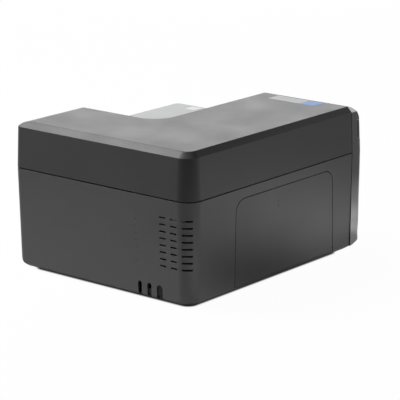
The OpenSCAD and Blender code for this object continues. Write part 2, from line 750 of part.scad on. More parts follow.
module card_shuttle() {
    y0 = shuttle_y - shuttle_l / 2;
    y1 = shuttle_y + shuttle_l / 2;
    x0 = lane_x - shuttle_w / 2;
    x1 = lane_x + shuttle_w / 2;
    color("#4a4d52") difference() {
        union() {
            translate([0, 0, rod_z + 3.6]) linear_extrude(shuttle_top - rod_z - 3.6) rounded(x0, x1,
                y0, y1, 5);
            // Bearing blocks round the rods
            for (s = [-1, 1]) rod_x(11, x0 + 2, x1 - 2, shuttle_y + s * rod_gap / 2, rod_z);
            for (s = [-1, 1]) block(x0 + 2, x1 - 2, shuttle_y + s * rod_gap / 2 - 5.5,
                shuttle_y + s * rod_gap / 2 + 5.5, rod_z, rod_z + 4);
            // Belt clamp
            block(lane_x - 8, lane_x + 8, shuttle_y + pulley_r + belt_gap + belt_t + 0.4,
                shuttle_y + pulley_r + belt_gap + belt_t + 4, belt_z - 2, rod_z + 4);
        }
        for (s = [-1, 1]) rod_x(shuttle_rod_d + 2 * run, x0 - 1, x1 + 1, shuttle_y + s * rod_gap / 2, rod_z);
        // Card pocket and suction grooves
        block(lane_x - card_w / 2 - 0.3, lane_x + card_w / 2 + 0.3, shuttle_y - card_l / 2 - 0.3,
            shuttle_y + card_l / 2 + 0.3, shuttle_top - 0.9, shuttle_top + 1);
        for (i = [-3:3]) block(lane_x - 20, lane_x + 20, shuttle_y + i * 11 - 0.8, shuttle_y + i * 11 + 0.8,
            shuttle_top - 1.8, shuttle_top);
        for (s = [-1, 1]) translate([lane_x, shuttle_y + s * shuttle_l / 2, 0])
            cylinder(r = 10, h = 200, $fn = 48);
    }
}

module shuttle_motor() {
    color("#6c6f74") {
        translate([0, 0, deck_z - 40]) linear_extrude(40) difference() {
            rounded(drive_x - 17.5, drive_x + 17.5, shuttle_y - 17.5, shuttle_y + 17.5, 4);
            for (s = [-1, 1], t = [-1, 1])
                translate([drive_x + s * 13, shuttle_y + t * 13]) circle(d = 3, $fn = 16);
        }
        rod_z(11, deck_z - 1, deck_z + 1.6, drive_x, shuttle_y);
        rod_z(5, deck_z, belt_z + 6, drive_x, shuttle_y);
    }
}

module shuttle_belt() {
    color("#1a1a1a") translate([0, 0, belt_z - belt_h / 2]) linear_extrude(belt_h)
        belt_ring([drive_x, shuttle_y], [idle_x, shuttle_y], pulley_r + belt_gap);
}

module shuttle_drive_pulley() {
    color("#d9dadb") translate([drive_x, shuttle_y, belt_z]) pulley(pulley_r, 5 + 2 * run);
}

module shuttle_idler_pulley() {
    color("#d9dadb") translate([idle_x, shuttle_y, belt_z]) pulley(pulley_r, 5 + 2 * run);
}

module carriage_frame() {
    beam_x = drive_plane + 7;
    x0 = carriage_x0 - 17;
    z1 = drive_z + 20;
    color("#8f9296") difference() {
        union() {
            block(x0, beam_x + frame_t, plate_y0, plate_y0 + frame_t, deck_z + 2, z1);
            block(x0, beam_x + frame_t, plate_y1, plate_y1 + frame_t, carriage_z + 2, z1);
            block(fan_x + fan_s / 2 + 4, beam_x + frame_t, plate_y1, plate_y1 + frame_t, deck_z + 2, z1);
            block(beam_x, beam_x + frame_t, plate_y0, plate_y1 + frame_t, drive_z - 22, z1);
            // Feet folded onto the deck
            block(x0 + 10, x0 + 40, plate_y0, plate_y0 + 12, deck_z + 2, deck_z + 3.6);
            block(rod_x - 30, rod_x - 4, plate_y0, plate_y0 + 12, deck_z + 2, deck_z + 3.6);
            block(rod_x - 24, rod_x + 10, plate_y1 - 10, plate_y1 + 1, deck_z + 2, deck_z + 3.6);
            // Idler axle
            rod_x(5, drive_plane - 5, beam_x + 1, rear_pulley_y, drive_z);
        }
        for (y = [plate_y0, plate_y1]) rod_y(carriage_rod_d, y - 1, y + frame_t + 1, rod_x, carriage_rod_z);
        rod_x(12, beam_x - 1, beam_x + frame_t + 1, front_pulley_y, drive_z);
        // Windows that lighten the sheet
        for (i = [0:3]) block(beam_x - 1, beam_x + frame_t + 1, plate_y0 + 62 + i * 56,
            plate_y0 + 102 + i * 56, drive_z - 12, drive_z + 10);
        block(x0 + 18, rod_x - 20, plate_y0 - 1, plate_y0 + frame_t + 1, deck_z + 14, deck_z + 40);
    }
}

module carriage_rod() {
    color("#d5d8dc") rod_y(carriage_rod_d, plate_y0, plate_y1 + frame_t, rod_x, carriage_rod_z);
}

rail_z = carriage_rod_z + 13;

module carriage_rail() {
    x0 = carriage_x0 - 16;
    color("#a9acb0") {
        block(x0, x0 + 2, plate_y0 + frame_t, plate_y1, rail_z - 14, rail_z + 3);
        block(x0, x0 + 12, plate_y0 + frame_t, plate_y1, rail_z, rail_z + 3);
    }
}

// Strip that the carriage reads its place from, above the rod
strip_x = rod_x - 4;
strip_z = carriage_rod_z + 12;
strip_t = 0.6;
strip_h = 8;

module encoder_strip() {
    color("#9fa6ac") block(strip_x - strip_t / 2, strip_x + strip_t / 2, plate_y0 + frame_t, plate_y1,
        strip_z, strip_z + strip_h);
}

module print_carriage() {
    y0 = carriage_park - carriage_l / 2;
    y1 = carriage_park + carriage_l / 2;
    z1 = carriage_z + cradle_h;
    color("#33363b") difference() {
        union() {
            block(carriage_x0, carriage_x1, y0, y1, carriage_z, z1);
            rod_y(16, y0, y1, rod_x, carriage_rod_z);
            block(carriage_x1 - 1, rod_x, y0, y1, carriage_rod_z - 8, carriage_rod_z + 4);
            // Shoe on the rail
            block(carriage_x0 - 10, carriage_x0 + 1, y0 + 8, y1 - 8, rail_z + 3.4, rail_z + 9);
            // Belt clamp
            block(rod_x, drive_plane - belt_h / 2 - 0.4, y0 + 20, y1 - 20, carriage_rod_z + 2,
                carriage_rod_z + 7);
            // Sensor round the encoder strip
            block(carriage_x1 - 1, strip_x + 4, y0 + 22, y1 - 22, strip_z + 1, strip_z + strip_h + 3);
            // Hinge ears of the latch
            for (x = [carriage_x0 + 2, carriage_x1 - 8]) {
                rod_x(6, x, x + 6, y1 - 4, latch_z);
                block(x, x + 6, y1 - 7, y1 - 1, z1 - 1, latch_z);
            }
        }
        rod_y(carriage_rod_d + 2 * run, y0 - 1, y1 + 1, rod_x, carriage_rod_z);
        block(strip_x - strip_t / 2 - 0.5, strip_x + strip_t / 2 + 0.5, y0, y1, strip_z - 1,
            strip_z + strip_h + 0.5);
        // Cartridge well, open on top
        block(carriage_x0 + 2.6, carriage_x1 - 2.6, y0 + 2.6, y1 - 2.6, carriage_z + 3, z1 + 1);
        // Window for the nozzles
        block(head_x - 16, head_x + 14, carriage_park - 12, carriage_park + 12, carriage_z - 1,
            carriage_z + 4);
        rod_x(pin_d + 2 * run, carriage_x0, carriage_x1, y1 - 4, latch_z);
    }
}

module ink_cartridge() {
    y0 = carriage_park - carriage_l / 2 + 2.8;
    y1 = carriage_park + carriage_l / 2 - 2.8;
    color("#23252a") {
        block(head_x - 14, head_x + 12, carriage_park - 10, carriage_park + 10, carriage_z + 0.2,
            carriage_z + 4);
        difference() {
            block(carriage_x0 + 2.8, carriage_x1 - 2.8, y0, y1, carriage_z + 3.2, carriage_z + cradle_h + 1);
            // Slanted back and grip ribs
            translate([0, y1, carriage_z + cradle_h + 1]) rotate([45, 0, 0])
                block(carriage_x0, carriage_x1, -7, 7, -7, 7);
            for (i = [0:4]) block(carriage_x0 + 18, carriage_x1 - 18, y0 + 6 + i * 5, y0 + 7.6 + i * 5,
                carriage_z + cradle_h + 0.2, carriage_z + cradle_h + 2);
        }
    }
}

module cartridge_latch() {
    y1 = carriage_park + carriage_l / 2 - 4;
    y0 = carriage_park - carriage_l / 2 + 3;
    color("#3a5f9e") {
        rod_x(6, carriage_x0 + 8.4, carriage_x1 - 8.4, y1, latch_z);
        translate([0, 0, latch_z - 1.6]) linear_extrude(3) difference() {
            rounded(carriage_x0 + 9, carriage_x1 - 9, y0, y1, 1.5);
            rounded(carriage_x0 + 18, carriage_x1 - 18, y0 + 12, y1 - 8, 3);
        }
    }
    color("#c9ccd0") rod_x(pin_d, carriage_x0 + 2.4, carriage_x1 - 2.4, y1, latch_z);
}

module carriage_motor() {
    x0 = drive_plane + 7 + frame_t;
    color("#6c6f74") {
        difference() {
            translate([x0, 0, 0]) along_x_from(26) rounded(front_pulley_y - 15, front_pulley_y + 15,
                drive_z - 15, drive_z + 15, 3);
            for (s = [-1, 1], t = [-1, 1])
                rod_x(3, x0 - 1, x0 + 40, front_pulley_y + s * 11, drive_z + t * 11);
        }
        rod_x(10, x0 - frame_t + 0.2, x0 + 1, front_pulley_y, drive_z);
        rod_x(5, drive_plane - 5, x0 + 1, front_pulley_y, drive_z);
    }
}

module along_x_from(len) { rotate([90, 0, 90]) linear_extrude(len) children(); }

module carriage_belt() {
    color("#1a1a1a") translate([drive_plane - belt_h / 2, 0, 0]) along_x_from(belt_h)
        belt_ring([front_pulley_y, drive_z], [rear_pulley_y, drive_z], drive_pulley_r + belt_gap);
}

module carriage_drive_pulley() {
    color("#d9dadb") translate([drive_plane, front_pulley_y, drive_z]) rotate([0, -90, 0])
        pulley(drive_pulley_r, 5 + 2 * run);
}

module carriage_idler_pulley() {
    color("#d9dadb") translate([drive_plane, rear_pulley_y, drive_z]) rotate([0, -90, 0])
        pulley(drive_pulley_r, 5 + 2 * run);
}

module service_station() {
    y0 = carriage_park - carriage_l / 2 - 2;
    y1 = carriage_park + carriage_l / 2 + 2;
    color("#2f3033") difference() {
        translate([0, 0, deck_z + 2]) linear_extrude(12) rounded(carriage_x0, carriage_x1, y0, y1, 4);
        translate([0, 0, deck_z + 5]) linear_extrude(12) rounded(carriage_x0 + 3, carriage_x1 - 3,
            y0 + 3, y1 - 3, 2);
    }
    // Cap and wiper blade
    color("#1a1a1a") {
        difference() {
            block(head_x - 18, head_x + 16, carriage_park - 14, carriage_park + 14, deck_z + 4,
                carriage_z - 1);
            block(head_x - 15, head_x + 13, carriage_park - 11, carriage_park + 11, deck_z + 12, carriage_z);
        }
        block(head_x - 18, head_x + 16, y1 - 10, y1 - 8.4, deck_z + 4, carriage_z - 0.6);
    }
}

module pick_frame() {
    color("#8f9296") difference() {
        union() {
            for (x = [lane_x - pick_plate - 3, lane_x + pick_plate - 2])
                block(x, x + 2.5, pinion_y - 16, pick_y + 18, deck_z + 2, mag_z + 6);
            for (x = [lane_x - pick_plate - 3, lane_x + pick_plate - 12])
                block(x, x + 12, pick_y + 6, pick_y + 18, deck_z + 2, deck_z + 3.6);
            rod_x(4, lane_x + pick_plate - 1, gear_x + gear_w + 1.2, idler_y, pick_z);
        }
        rod_x(6 + 2 * run, lane_x - 60, lane_x + 60, pick_y, pick_z);
        rod_x(10, lane_x + pick_plate - 3, lane_x + pick_plate + 1, pinion_y, pick_z);
    }
}

module pick_roller() {
    color("#c9ccd0") rod_x(6, lane_x - pick_plate - 4.5, gear_x + gear_w + 1.5, pick_y, pick_z);
    color("#3b3b3d") difference() {
        rod_x(pick_d, lane_x - 11, lane_x + 11, pick_y, pick_z);
        for (i = [0:11]) translate([lane_x, pick_y, pick_z]) rotate([i * 30, 0, 0])
            translate([0, 0, pick_d / 2]) cube([30, 0.8, 0.8], center = true);
    }
    color("#e4e2da") translate([gear_x, pick_y, pick_z]) gear(gear_n, gear_w, 5.8, 180 + 180 / gear_n);
}

module idler_gear() {
    color("#e4e2da") translate([gear_x, idler_y, pick_z])
        gear(idler_n, gear_w, 4 + 2 * run, 180 + 180 / idler_n);
}

module motor_pinion() {
    color("#c8a548") translate([gear_x, pinion_y, pick_z]) gear(pinion_n, gear_w, 3 + 2 * run, 0);
}

module pick_motor() {
    color("#6c6f74") {
        rod_x(26, lane_x + pick_plate - 34, lane_x + pick_plate - 2, pinion_y, pick_z);
        rod_x(9.6, lane_x + pick_plate - 3, lane_x + pick_plate + 1, pinion_y, pick_z);
        rod_x(3, lane_x + pick_plate, gear_x + gear_w + 1, pinion_y, pick_z);
        block(lane_x + pick_plate - 30, lane_x + pick_plate - 6, pinion_y - 10, pinion_y + 10,
            deck_z + 2, pick_z - 8);
    }
}

module cartridge_guides() {
    color("#33363b") for (s = [-1, 1]) mirror_about(lane_x, s) {
        difference() {
            block(clean_w / 2 + 0.6, clean_w / 2 + 5, clean_y0, clean_y0 + clean_l, clean_z - 3,
                clean_z + 10);
            block(clean_w / 2 + 3, clean_w / 2 + 11, clean_y0 + 14, clean_y0 + clean_l - 14,
                clean_z + 7, clean_z + 12);
        }
        block(clean_w / 2 - 3, clean_w / 2 + 1, clean_y0 + 20, clean_y0 + clean_l, clean_z - 3,
            clean_z - 0.6);
        for (y = [clean_y0, clean_y0 + clean_l - 7])
            block(clean_w / 2 + 0.6, clean_w / 2 + 5, y, y + 7, deck_z + 2, clean_z - 2);
    }
}

module mirror_about(x, s) { translate([x, 0, 0]) mirror([s < 0 ? 1 : 0, 0, 0]) children(); }

module cleaning_cartridge() {
    y1 = clean_y0 + clean_l;
    half = clean_w / 2;
    color("#3f6fb5") difference() {
        union() {
            // Side cheeks and floor
            for (s = [-1, 1]) mirror_about(lane_x, s) {
                block(half - 4, half, clean_y0 + 9, y1 - 2, clean_z - 0.4, clean_z + clean_h * 0.7);
                rod_x(clean_h * 0.72, half - 4, half, clean_axis_y, clean_axis_z);
            }
            block(lane_x - half + 2, lane_x + half - 2, clean_y0 + 24, y1 - 2, clean_z - 0.4, clean_z + 3);
            // Stiff ribs beside the finger opening
            for (x = [-21, 21]) block(lane_x + x - 1, lane_x + x + 1, clean_y0 + 24, y1 - 4,
                clean_z + 2, clean_z + 8);
            for (i = [0:3]) block(lane_x - 18 + i * 11, lane_x - 16.4 + i * 11, y1 - 34, y1 - 6,
                clean_z + 2, clean_z + 7);
            // Handle bar
            block(lane_x - half + 2, lane_x + half - 2, y1 - 6, y1 - 2, clean_z + 2, clean_z + 11);
        }
        translate([0, 0, clean_z - 2]) linear_extrude(8) rounded(lane_x - 16, lane_x + 16,
            clean_y0 + 34, clean_y0 + 64, 13);
        rod_x(5 + 2 * run, lane_x - half - 1, lane_x + half + 1, clean_axis_y, clean_axis_z);
    }
}

module cleaning_roller() {
    half = clean_w / 2;
    color("#b9bcc0") {
        rod_x(clean_d, lane_x - half + 4.5, lane_x + half - 4.5, clean_axis_y, clean_axis_z);
        rod_x(5, lane_x - half + 0.2, lane_x + half - 0.2, clean_axis_y, clean_axis_z);
    }
}

module main_board() {
    x0 = xl + 62;
    x1 = xl + 172;
    y0 = notch_y - 122;
    y1 = pan_y1 - bay_l - 2;
    z = pan_top + 9;
    color("#1d5c3a") block(x0, x1, y0, y1, z, z + 1.6);
    color("#b5b8bc") for (x = [x0 + 6, x1 - 6], y = [y0 + 6, y1 - 6]) rod_z(6, pan_top, z, x, y);
    color("#202226") {
        block(x0 + 34, x0 + 62, y0 + 60, y0 + 88, z + 1.6, z + 4);
        block(x0 + 34, x0 + 52, y0 + 100, y0 + 112, z + 1.6, z + 3.2);
        block(x0 + 74, x0 + 86, y0 + 60, y0 + 78, z + 1.6, z + 3.2);
    }
    color("#4a4d52") for (i = [0:3]) rod_z(8, z + 1.6, z + 13, x0 + 20 + i * 14, y0 + 24);
    color("#e8e6dc") for (i = [0:4]) block(x1 - 12, x1 - 4, y0 + 20 + i * 26, y0 + 38 + i * 26,
        z + 1.6, z + 8);
}

module power_supply() {
    x0 = xr - 142;
    x1 = xr - 36;
    y0 = notch_y - 8;
    y1 = notch_y + 92;
    color("#a4a7ab") difference() {
        block(x0, x1, y0, y1, pan_top, pan_top + 44);
        for (i = [0:9]) block(x0 - 1, x0 + 2, y0 + 8 + i * 9, y0 + 12 + i * 9, pan_top + 8, pan_top + 36);
        for (i = [0:9]) block(x0 + 12 + i * 9, x0 + 15 + i * 9, y0 + 10, y1 - 10, pan_top + 42.5,
            pan_top + 45);
    }
}

module waste_tank() {
    x0 = xl + 14;
    y0 = door_y0 + 14;
    color("#c9cdd0") difference() {
        union() {
            translate([0, 0, pan_top + 16]) linear_extrude(40) rounded(x0, x0 + 42, y0 + 12, y0 + 130, 6);
            block(x0 + 8, x0 + 40, y0 + 20, y0 + 122, pan_top, pan_top + 17);
            // Grip at the door side
            block(x0 - 0.4, x0 + 4, y0 + 52, y0 + 90, pan_top + 46, pan_top + 52);
        }
        translate([0, 0, pan_top + 44]) linear_extrude(20) rounded(x0 + 8, x0 + 36, y0 + 30, y0 + 46, 4);
    }
}

port_y = pan_y1 - bay_l + 1.6;
port_z = pan_top + 16;

module power_inlet() {
    x = xl + cable_notches[0][0] + cable_notches[0][1] / 2;
    color("#17181a") difference() {
        translate([0, port_y + 3.5, 0]) along_y(7) rounded(x - 8, x + 8, port_z - 8, port_z + 8, 3);
        translate([0, port_y + 5.2, 0]) along_y(7) rounded(x - 6, x + 6, port_z - 6, port_z + 6, 2);
    }
    color("#c8a548") rod_y(2.4, port_y + 1, port_y + 6, x, port_z);
}

module usb_port() {
    x = xl + cable_notches[1][0] + cable_notches[1][1] / 2;
    color("#b5b8bc") difference() {
        translate([0, port_y + 3.5, 0]) along_y(7) rounded(x - 6, x + 6, port_z - 5.5, port_z + 5.5, 1);
        translate([0, port_y + 5.2, 0]) along_y(7) rounded(x - 4.3, x + 4.3, port_z - 3.9, port_z + 3.9, 0.8);
    }
    color("#e8e6dc") block(x - 2.8, x + 2.8, port_y + 1, port_y + 6, port_z - 1.6, port_z + 1.6);
}

module network_port() {
    x = xl + cable_notches[2][0] + cable_notches[2][1] / 2 + 1.5;
    color("#a9acb0") difference() {
        block(x - 7.6, x + 5.8, port_y, port_y + 7, port_z - 7, port_z + 7);
        block(x - 6, x + 4.4, port_y + 1.6, port_y + 8, port_z - 4.6, port_z + 4);
        block(x - 3.6, x + 2, port_y + 1.6, port_y + 8, port_z + 3, port_z + 5.6);
    }
}

module fan_frame() {
    half = fan_s / 2;
    color("#1c1d1f") difference() {
        translate([0, fan_y + fan_t / 2, 0]) along_y(fan_t)
            rounded(fan_x - half, fan_x + half, fan_z - half, fan_z + half, 4);
        rod_y(56, fan_y + 2.5, fan_y + fan_t + 1, fan_x, fan_z);
        // Spokes stay between four openings on the motor side
        for (i = [0:3]) translate([fan_x, fan_y + 3, fan_z]) rotate([0, i * 90, 0])
            rotate([90, 0, 0]) linear_extrude(6) intersection() {
                difference() {
                    circle(27, $fn = 64);
                    circle(13, $fn = 48);
                }
                translate([1.8, 1.8]) square(40);
            }
        for (sx = [-1, 1], sz = [-1, 1])
            rod_y(4, fan_y - 1, fan_y + fan_t + 1, fan_x + sx * 25, fan_z + sz * 25);
    }
    color("#1c1d1f") rod_y(3, fan_y + 2, fan_y + 10, fan_x, fan_z);
}

module fan_rotor() {
    color("#26282b") difference() {
        union() {
            rod_y(24, fan_y + 3.2, fan_y + fan_t - 1.5, fan_x, fan_z);
            for (i = [0:6]) translate([fan_x, fan_y + 8.4, fan_z]) rotate([0, i * 360 / 7, 0])
                rotate([34, 0, 0]) block(10, 26.2, -4.4, 4.4, -0.8, 0.8);
        }
        rod_y(3 + 2 * run, fan_y + 1, fan_y + 10.5, fan_x, fan_z);
    }
}

// Hinges

module hinge_brackets() {
    color("#3a3c40") for (s = [-1, 1]) translate([s * hinge_x, 0, 0]) difference() {
        union() {
            rod_x(2 * barrel_r, -tongue_w / 2, tongue_w / 2, hinge_y, hinge_z);
            along_x(tongue_w) polygon([[rear_in(118), 118], [rear_in(base_z1 - 4), base_z1 - 4],
                [hinge_y - 6, base_z1 - 4], [hinge_y - 6, hinge_z - 0.75], [hinge_y, hinge_z - 0.75],
                [hinge_y, hinge_z + barrel_r], [hinge_y - 10.4, hinge_z + barrel_r],
                [hinge_y - 10.4, base_z1 - 8], [rear_in(118) - 3, base_z1 - 15], [rear_in(118) - 3, 118]]);
        }
        rod_x(pin_d + 2 * run, -20, 20, hinge_y, hinge_z);
        rod_y(2.5, hinge_y - 20, hinge_y + 10, 0, 125);
    }
}

module cover_hinge_pins() {
    color("#c9ccd0") for (s = [-1, 1])
        rod_x(pin_d, s * hinge_x - tongue_w / 2 - lug_gap - lug_w,
            s * hinge_x + tongue_w / 2 + lug_gap + lug_w, hinge_y, hinge_z);
}

module top_cover() {
    color("#2c2d30") difference() {
        union() {
            difference() {
                cover_form(0);
                difference() {
                    cover_form(wall);
                    block(xl - 1, notch_x, yf - 1, panel_y + panel_gap + wall, 0, big);
                }
                block(xl - 1, notch_x + 1, yf - 1, panel_y + panel_gap, 0, big);
            }
            // Lugs either side of each bracket
            for (s = [-1, 1], t = [-1, 1])
                translate([s * hinge_x + t * (tongue_w + 2 * lug_gap + lug_w) / 2, 0, 0])
                intersection() {
                    union() {
                        rod_x(2 * barrel_r, -lug_w / 2, lug_w / 2, hinge_y, hinge_z);
                        block(-lug_w / 2, lug_w / 2, hinge_y, hinge_y + 2, hinge_z - barrel_r,
                            hinge_z + barrel_r);
                    }
                    block(-10, 10, -big, yr - 0.4, 0, big);
                }
            // Stiffening ribs under the top
            for (x = [xl + 44, xl + 88, xl + 132])
                block(x - 0.8, x + 0.8, panel_y + 8, yr - 12, body_h - wall - 2.6, body_h - wall + 0.5);
            for (y = [notch_y + 40, notch_y + 84])
                block(notch_x - 20, xr - 30, y - 0.8, y + 0.8, body_h - wall - 2.6, body_h - wall + 0.5);
        }
        // The rear lower edge is rounded about the hinge
        difference() {
            block(xl, xr, hinge_y, yr + 1, cover_z0 - 1, hinge_z);
            rod_x(2 * hinge_clear_r, xl - 1, xr + 1, hinge_y, hinge_z);
        }
        for (s = [-1, 1]) rod_x(2 * barrel_r + 0.6, s * hinge_x - tongue_w / 2 - lug_gap,
            s * hinge_x + tongue_w / 2 + lug_gap, hinge_y, hinge_z);
        for (s = [-1, 1]) rod_x(pin_d, s * hinge_x - 11, s * hinge_x + 11, hinge_y, hinge_z);
        // Seat of the name plate and the parting line along the rear chamfer
        block(plate_x0, plate_x1, plate_y0n, plate_y1n, body_h - 0.8, body_h + 1);
        block(xl + 20, xr - 24, yr - top_inset - 1, yr - top_inset - 0.2, body_h - 0.6, body_h + 1);
    }
}

// Name plate and accent tile on the left bar
plate_x0 = xl + 50;
plate_x1 = xl + 135;
plate_y1n = panel_y + 28;
plate_y0n = panel_y + 2.4;
accent_w = 25;

module name_plate() {
    color("#c9cdd1") block(plate_x0 + accent_w + 0.2, plate_x1, plate_y0n, plate_y1n, body_h - 0.8,
        body_h + 0.2);
}

module accent_tile() {
    color("#4a74b8") block(plate_x0, plate_x0 + accent_w, plate_y0n, plate_y1n, body_h - 0.8, body_h + 0.2);
}

// The door follows the leaning wall
module side_door() {
    skin = [[left_in(door_axis_z - 6) - wall, door_axis_z - 6], [left_in(door_z1 + 2) - wall, door_z1 + 2],
        [left_in(door_z1 + 2), door_z1 + 2], [left_in(door_axis_z - 6), door_axis_z - 6]];
    color("#2e2f32") difference() {
        union() {
            intersection() {
                along_y() polygon(skin);
                along_x() door_outline(0);
            }
            for (y = door_stations) {
                rod_y(2 * barrel_r, y - 5, y + 5, door_axis_x, door_axis_z);
                block(left_in(door_axis_z) - 0.6, door_axis_x, y - 5, y + 5,
                    door_axis_z - barrel_r, door_axis_z + barrel_r);
            }
            // Stiffening ribs on the inner face
            for (y = [door_y0 + 60, (door_y0 + door_y1) / 2, door_y1 - 60])
                intersection() {
                    translate([wall - 0.4, 0, 0]) along_y() polygon(skin);
                    block(-big, big, y - 0.8, y + 0.8, door_axis_z + 14, door_z1 - 10);
                }
        }
        // Lower edge rounded about the hinge
        difference() {
            block(xl - 5, door_axis_x, door_foot_y0 - 1, door_y1 + 1, 0, door_axis_z);
            rod_y(2 * door_clear_r, door_foot_y0 - 2, door_y1 + 2, door_axis_x, door_axis_z);
        }
        for (y = door_stations) {
            rod_y(pin_d, y - 12, y + 12, door_axis_x, door_axis_z);
            for (s = [-1, 1]) rod_y(2 * barrel_r + 0.8, y + s * 8.4 - 3.2, y + s * 8.4 + 3.2,
                door_axis_x, door_axis_z);
        }
        // Two service pinholes
        for (z = [34.7, 42.6]) rod_x(1.4, xl - 2, xl + 12, yr - 194, seam_z - z);
    }
}

door_stations = [door_y0 + door_station, door_y1 - door_station];

module door_lugs() {
    color("#1b1c1e") for (y = door_stations, s = [-1, 1]) difference() {
        union() {
            rod_y(2 * barrel_r, y + s * 8.4 - 2.8, y + s * 8.4 + 2.8, door_axis_x, door_axis_z);
            block(door_axis_x, door_axis_x + 9.5, y + s * 8.4 - 2.8, y + s * 8.4 + 2.8,
                door_axis_z - 0.5, door_axis_z + barrel_r);
            block(door_axis_x + 6.3, door_axis_x + 9.5, y + s * 8.4 - 2.8, y + s * 8.4 + 2.8,
                pan_top, door_axis_z);
        }
        rod_y(pin_d + 2 * run, y - 20, y + 20, door_axis_x, door_axis_z);
    }
}

module door_hinge_pins() {
    color("#c9ccd0") for (y = door_stations) rod_y(pin_d, y - 11.4, y + 11.4, door_axis_x, door_axis_z);
}

base_shell();
base_pan();
rubber_feet();
front_panel();
status_window();
panel_board();
output_chute();
hopper_body();
chassis_deck();
deck_posts();
shuttle_brackets();
shuttle_rods();
shuttle_motor();
shuttle_belt();
carriage_frame();
carriage_rod();
carriage_rail();
encoder_strip();
carriage_motor();
carriage_belt();
service_station();
pick_frame();
pick_motor();
cartridge_guides();
cleaning_cartridge();
main_board();
power_supply();
waste_tank();
power_inlet();
usb_port();
network_port();
fan_frame();
hinge_brackets();
door_lugs();
top_cover();
name_plate();
accent_tile();
cover_hinge_pins();
side_door();
door_hinge_pins();
hopper_lid();
hopper_window();
lid_hinge_pins();
card_weight();
output_tray();
power_button();
feed_button();
cleaning_roller();
card_shuttle();
shuttle_drive_pulley();
shuttle_idler_pulley();
print_carriage();
ink_cartridge();
cartridge_latch();
carriage_drive_pulley();
carriage_idler_pulley();
pick_roller();
idler_gear();
motor_pinion();
fan_rotor();
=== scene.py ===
"""Finishes, small fittings and a pale studio for a desktop card printer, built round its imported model."""

import json
import math
import random

import bmesh
import bpy
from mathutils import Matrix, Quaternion, Vector


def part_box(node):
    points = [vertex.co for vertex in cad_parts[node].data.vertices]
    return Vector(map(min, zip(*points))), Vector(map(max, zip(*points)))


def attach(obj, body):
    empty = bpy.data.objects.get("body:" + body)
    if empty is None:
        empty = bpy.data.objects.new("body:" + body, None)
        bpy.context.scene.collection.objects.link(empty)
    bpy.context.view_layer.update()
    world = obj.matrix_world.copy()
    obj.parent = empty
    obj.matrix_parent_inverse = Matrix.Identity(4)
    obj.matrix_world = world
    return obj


bl_info = {
    "name": "Card Printer Looks",
    "version": (1, 0, 0),
    "blender": (4, 5, 0),
    "location": "3D View > Sidebar > Card Printer",
    "description": "Finishes, small fittings and a studio for a desktop card printer",
    "category": "Object",
}

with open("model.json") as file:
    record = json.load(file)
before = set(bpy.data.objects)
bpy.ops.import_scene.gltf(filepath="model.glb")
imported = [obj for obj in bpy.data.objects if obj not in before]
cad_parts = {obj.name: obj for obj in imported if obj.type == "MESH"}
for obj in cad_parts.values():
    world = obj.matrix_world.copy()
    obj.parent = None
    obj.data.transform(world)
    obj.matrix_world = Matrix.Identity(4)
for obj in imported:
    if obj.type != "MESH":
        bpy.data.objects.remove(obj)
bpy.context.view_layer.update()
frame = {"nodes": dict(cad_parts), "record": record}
nodes = frame["nodes"]

MM = 0.001


def chip(red, green, blue):
    """Linear colour of a paint chip given as 0 to 255 values"""
    levels = [value / 255 for value in (red, green, blue)]
    return tuple(level / 12.92 if level <= 0.04045 else ((level + 0.055) / 1.055) ** 2.4 for level in levels)


def colour_property(name, description, default):
    return bpy.props.FloatVectorProperty(
        name=name, description=description, subtype="COLOR", size=3, min=0, max=1, default=default
    )


def length_property(name, description, default):
    return bpy.props.FloatProperty(
        name=name, description=description, subtype="DISTANCE", unit="LENGTH", min=0, default=default
    )


def share_property(name, description, default):
    return bpy.props.FloatProperty(
        name=name, description=description, subtype="FACTOR", min=0, max=1, default=default
    )


def angle_property(name, description, degrees):
    return bpy.props.FloatProperty(
        name=name, description=description, unit="ROTATION", default=math.radians(degrees)
    )


def power_property(name, description, default):
    return bpy.props.FloatProperty(name=name, description=description, unit="POWER", min=0, default=default)


class PrinterFinishes(bpy.types.PropertyGroup):
    """Colours and grain of the printer's finishes"""

    casing: colour_property("Casing", "Charcoal of the textured base", chip(50, 50, 51))
    # The cover's darker charcoal is painted shade, a shaded copy of the casing's charcoal
    cover: colour_property("Cover", "Darker charcoal of the top cover", chip(30, 30, 32))
    door: colour_property("Side door", "Charcoal of the side door", chip(49, 49, 50))
    gloss: colour_property("Front panel", "Glossy black of the front panel", chip(18, 19, 22))
    smoke: colour_property("Window tint", "Tint of the smoked status window", chip(44, 52, 62))
    inner: colour_property("Inner black", "Satin black of inner mouldings", chip(30, 31, 33))
    hopper: colour_property("Hopper", "Dark grey of hopper and tray", chip(46, 47, 50))
    light_grey: colour_property("Light grey", "Light grey of the hopper lid", chip(176, 177, 178))
    blue: colour_property("Blue", "Blue of the pieces that a user touches", chip(64, 104, 172))
    accent: colour_property("Accent", "Blue of the accent tile", chip(124, 152, 198))
    solder_mask: colour_property("Solder mask", "Green of the circuit boards", chip(24, 92, 58))
    grain: length_property("Casing grain", "Size of one grain of the moulded texture", 0.55 * MM)
    grain_depth: length_property("Grain depth", "Depth of the moulded texture", 0.03 * MM)
    edge_glint: length_property("Edge glint", "Width over which an edge catches light", 0.7 * MM)
    casing_roughness: share_property("Casing roughness", "Mean roughness of the moulded texture", 0.46)


class PrinterTrim(bpy.types.PropertyGroup):
    """Sizes of edges and small fittings"""

    part_edge: length_property("Part edge", "Rounding of the edges of all pieces", 0.25 * MM)
    screw_head: length_property("Screw head", "Diameter of a screw's head", 5.4 * MM)
    belt_pitch: length_property("Belt pitch", "Distance between the teeth of a drive belt", 2.0 * MM)


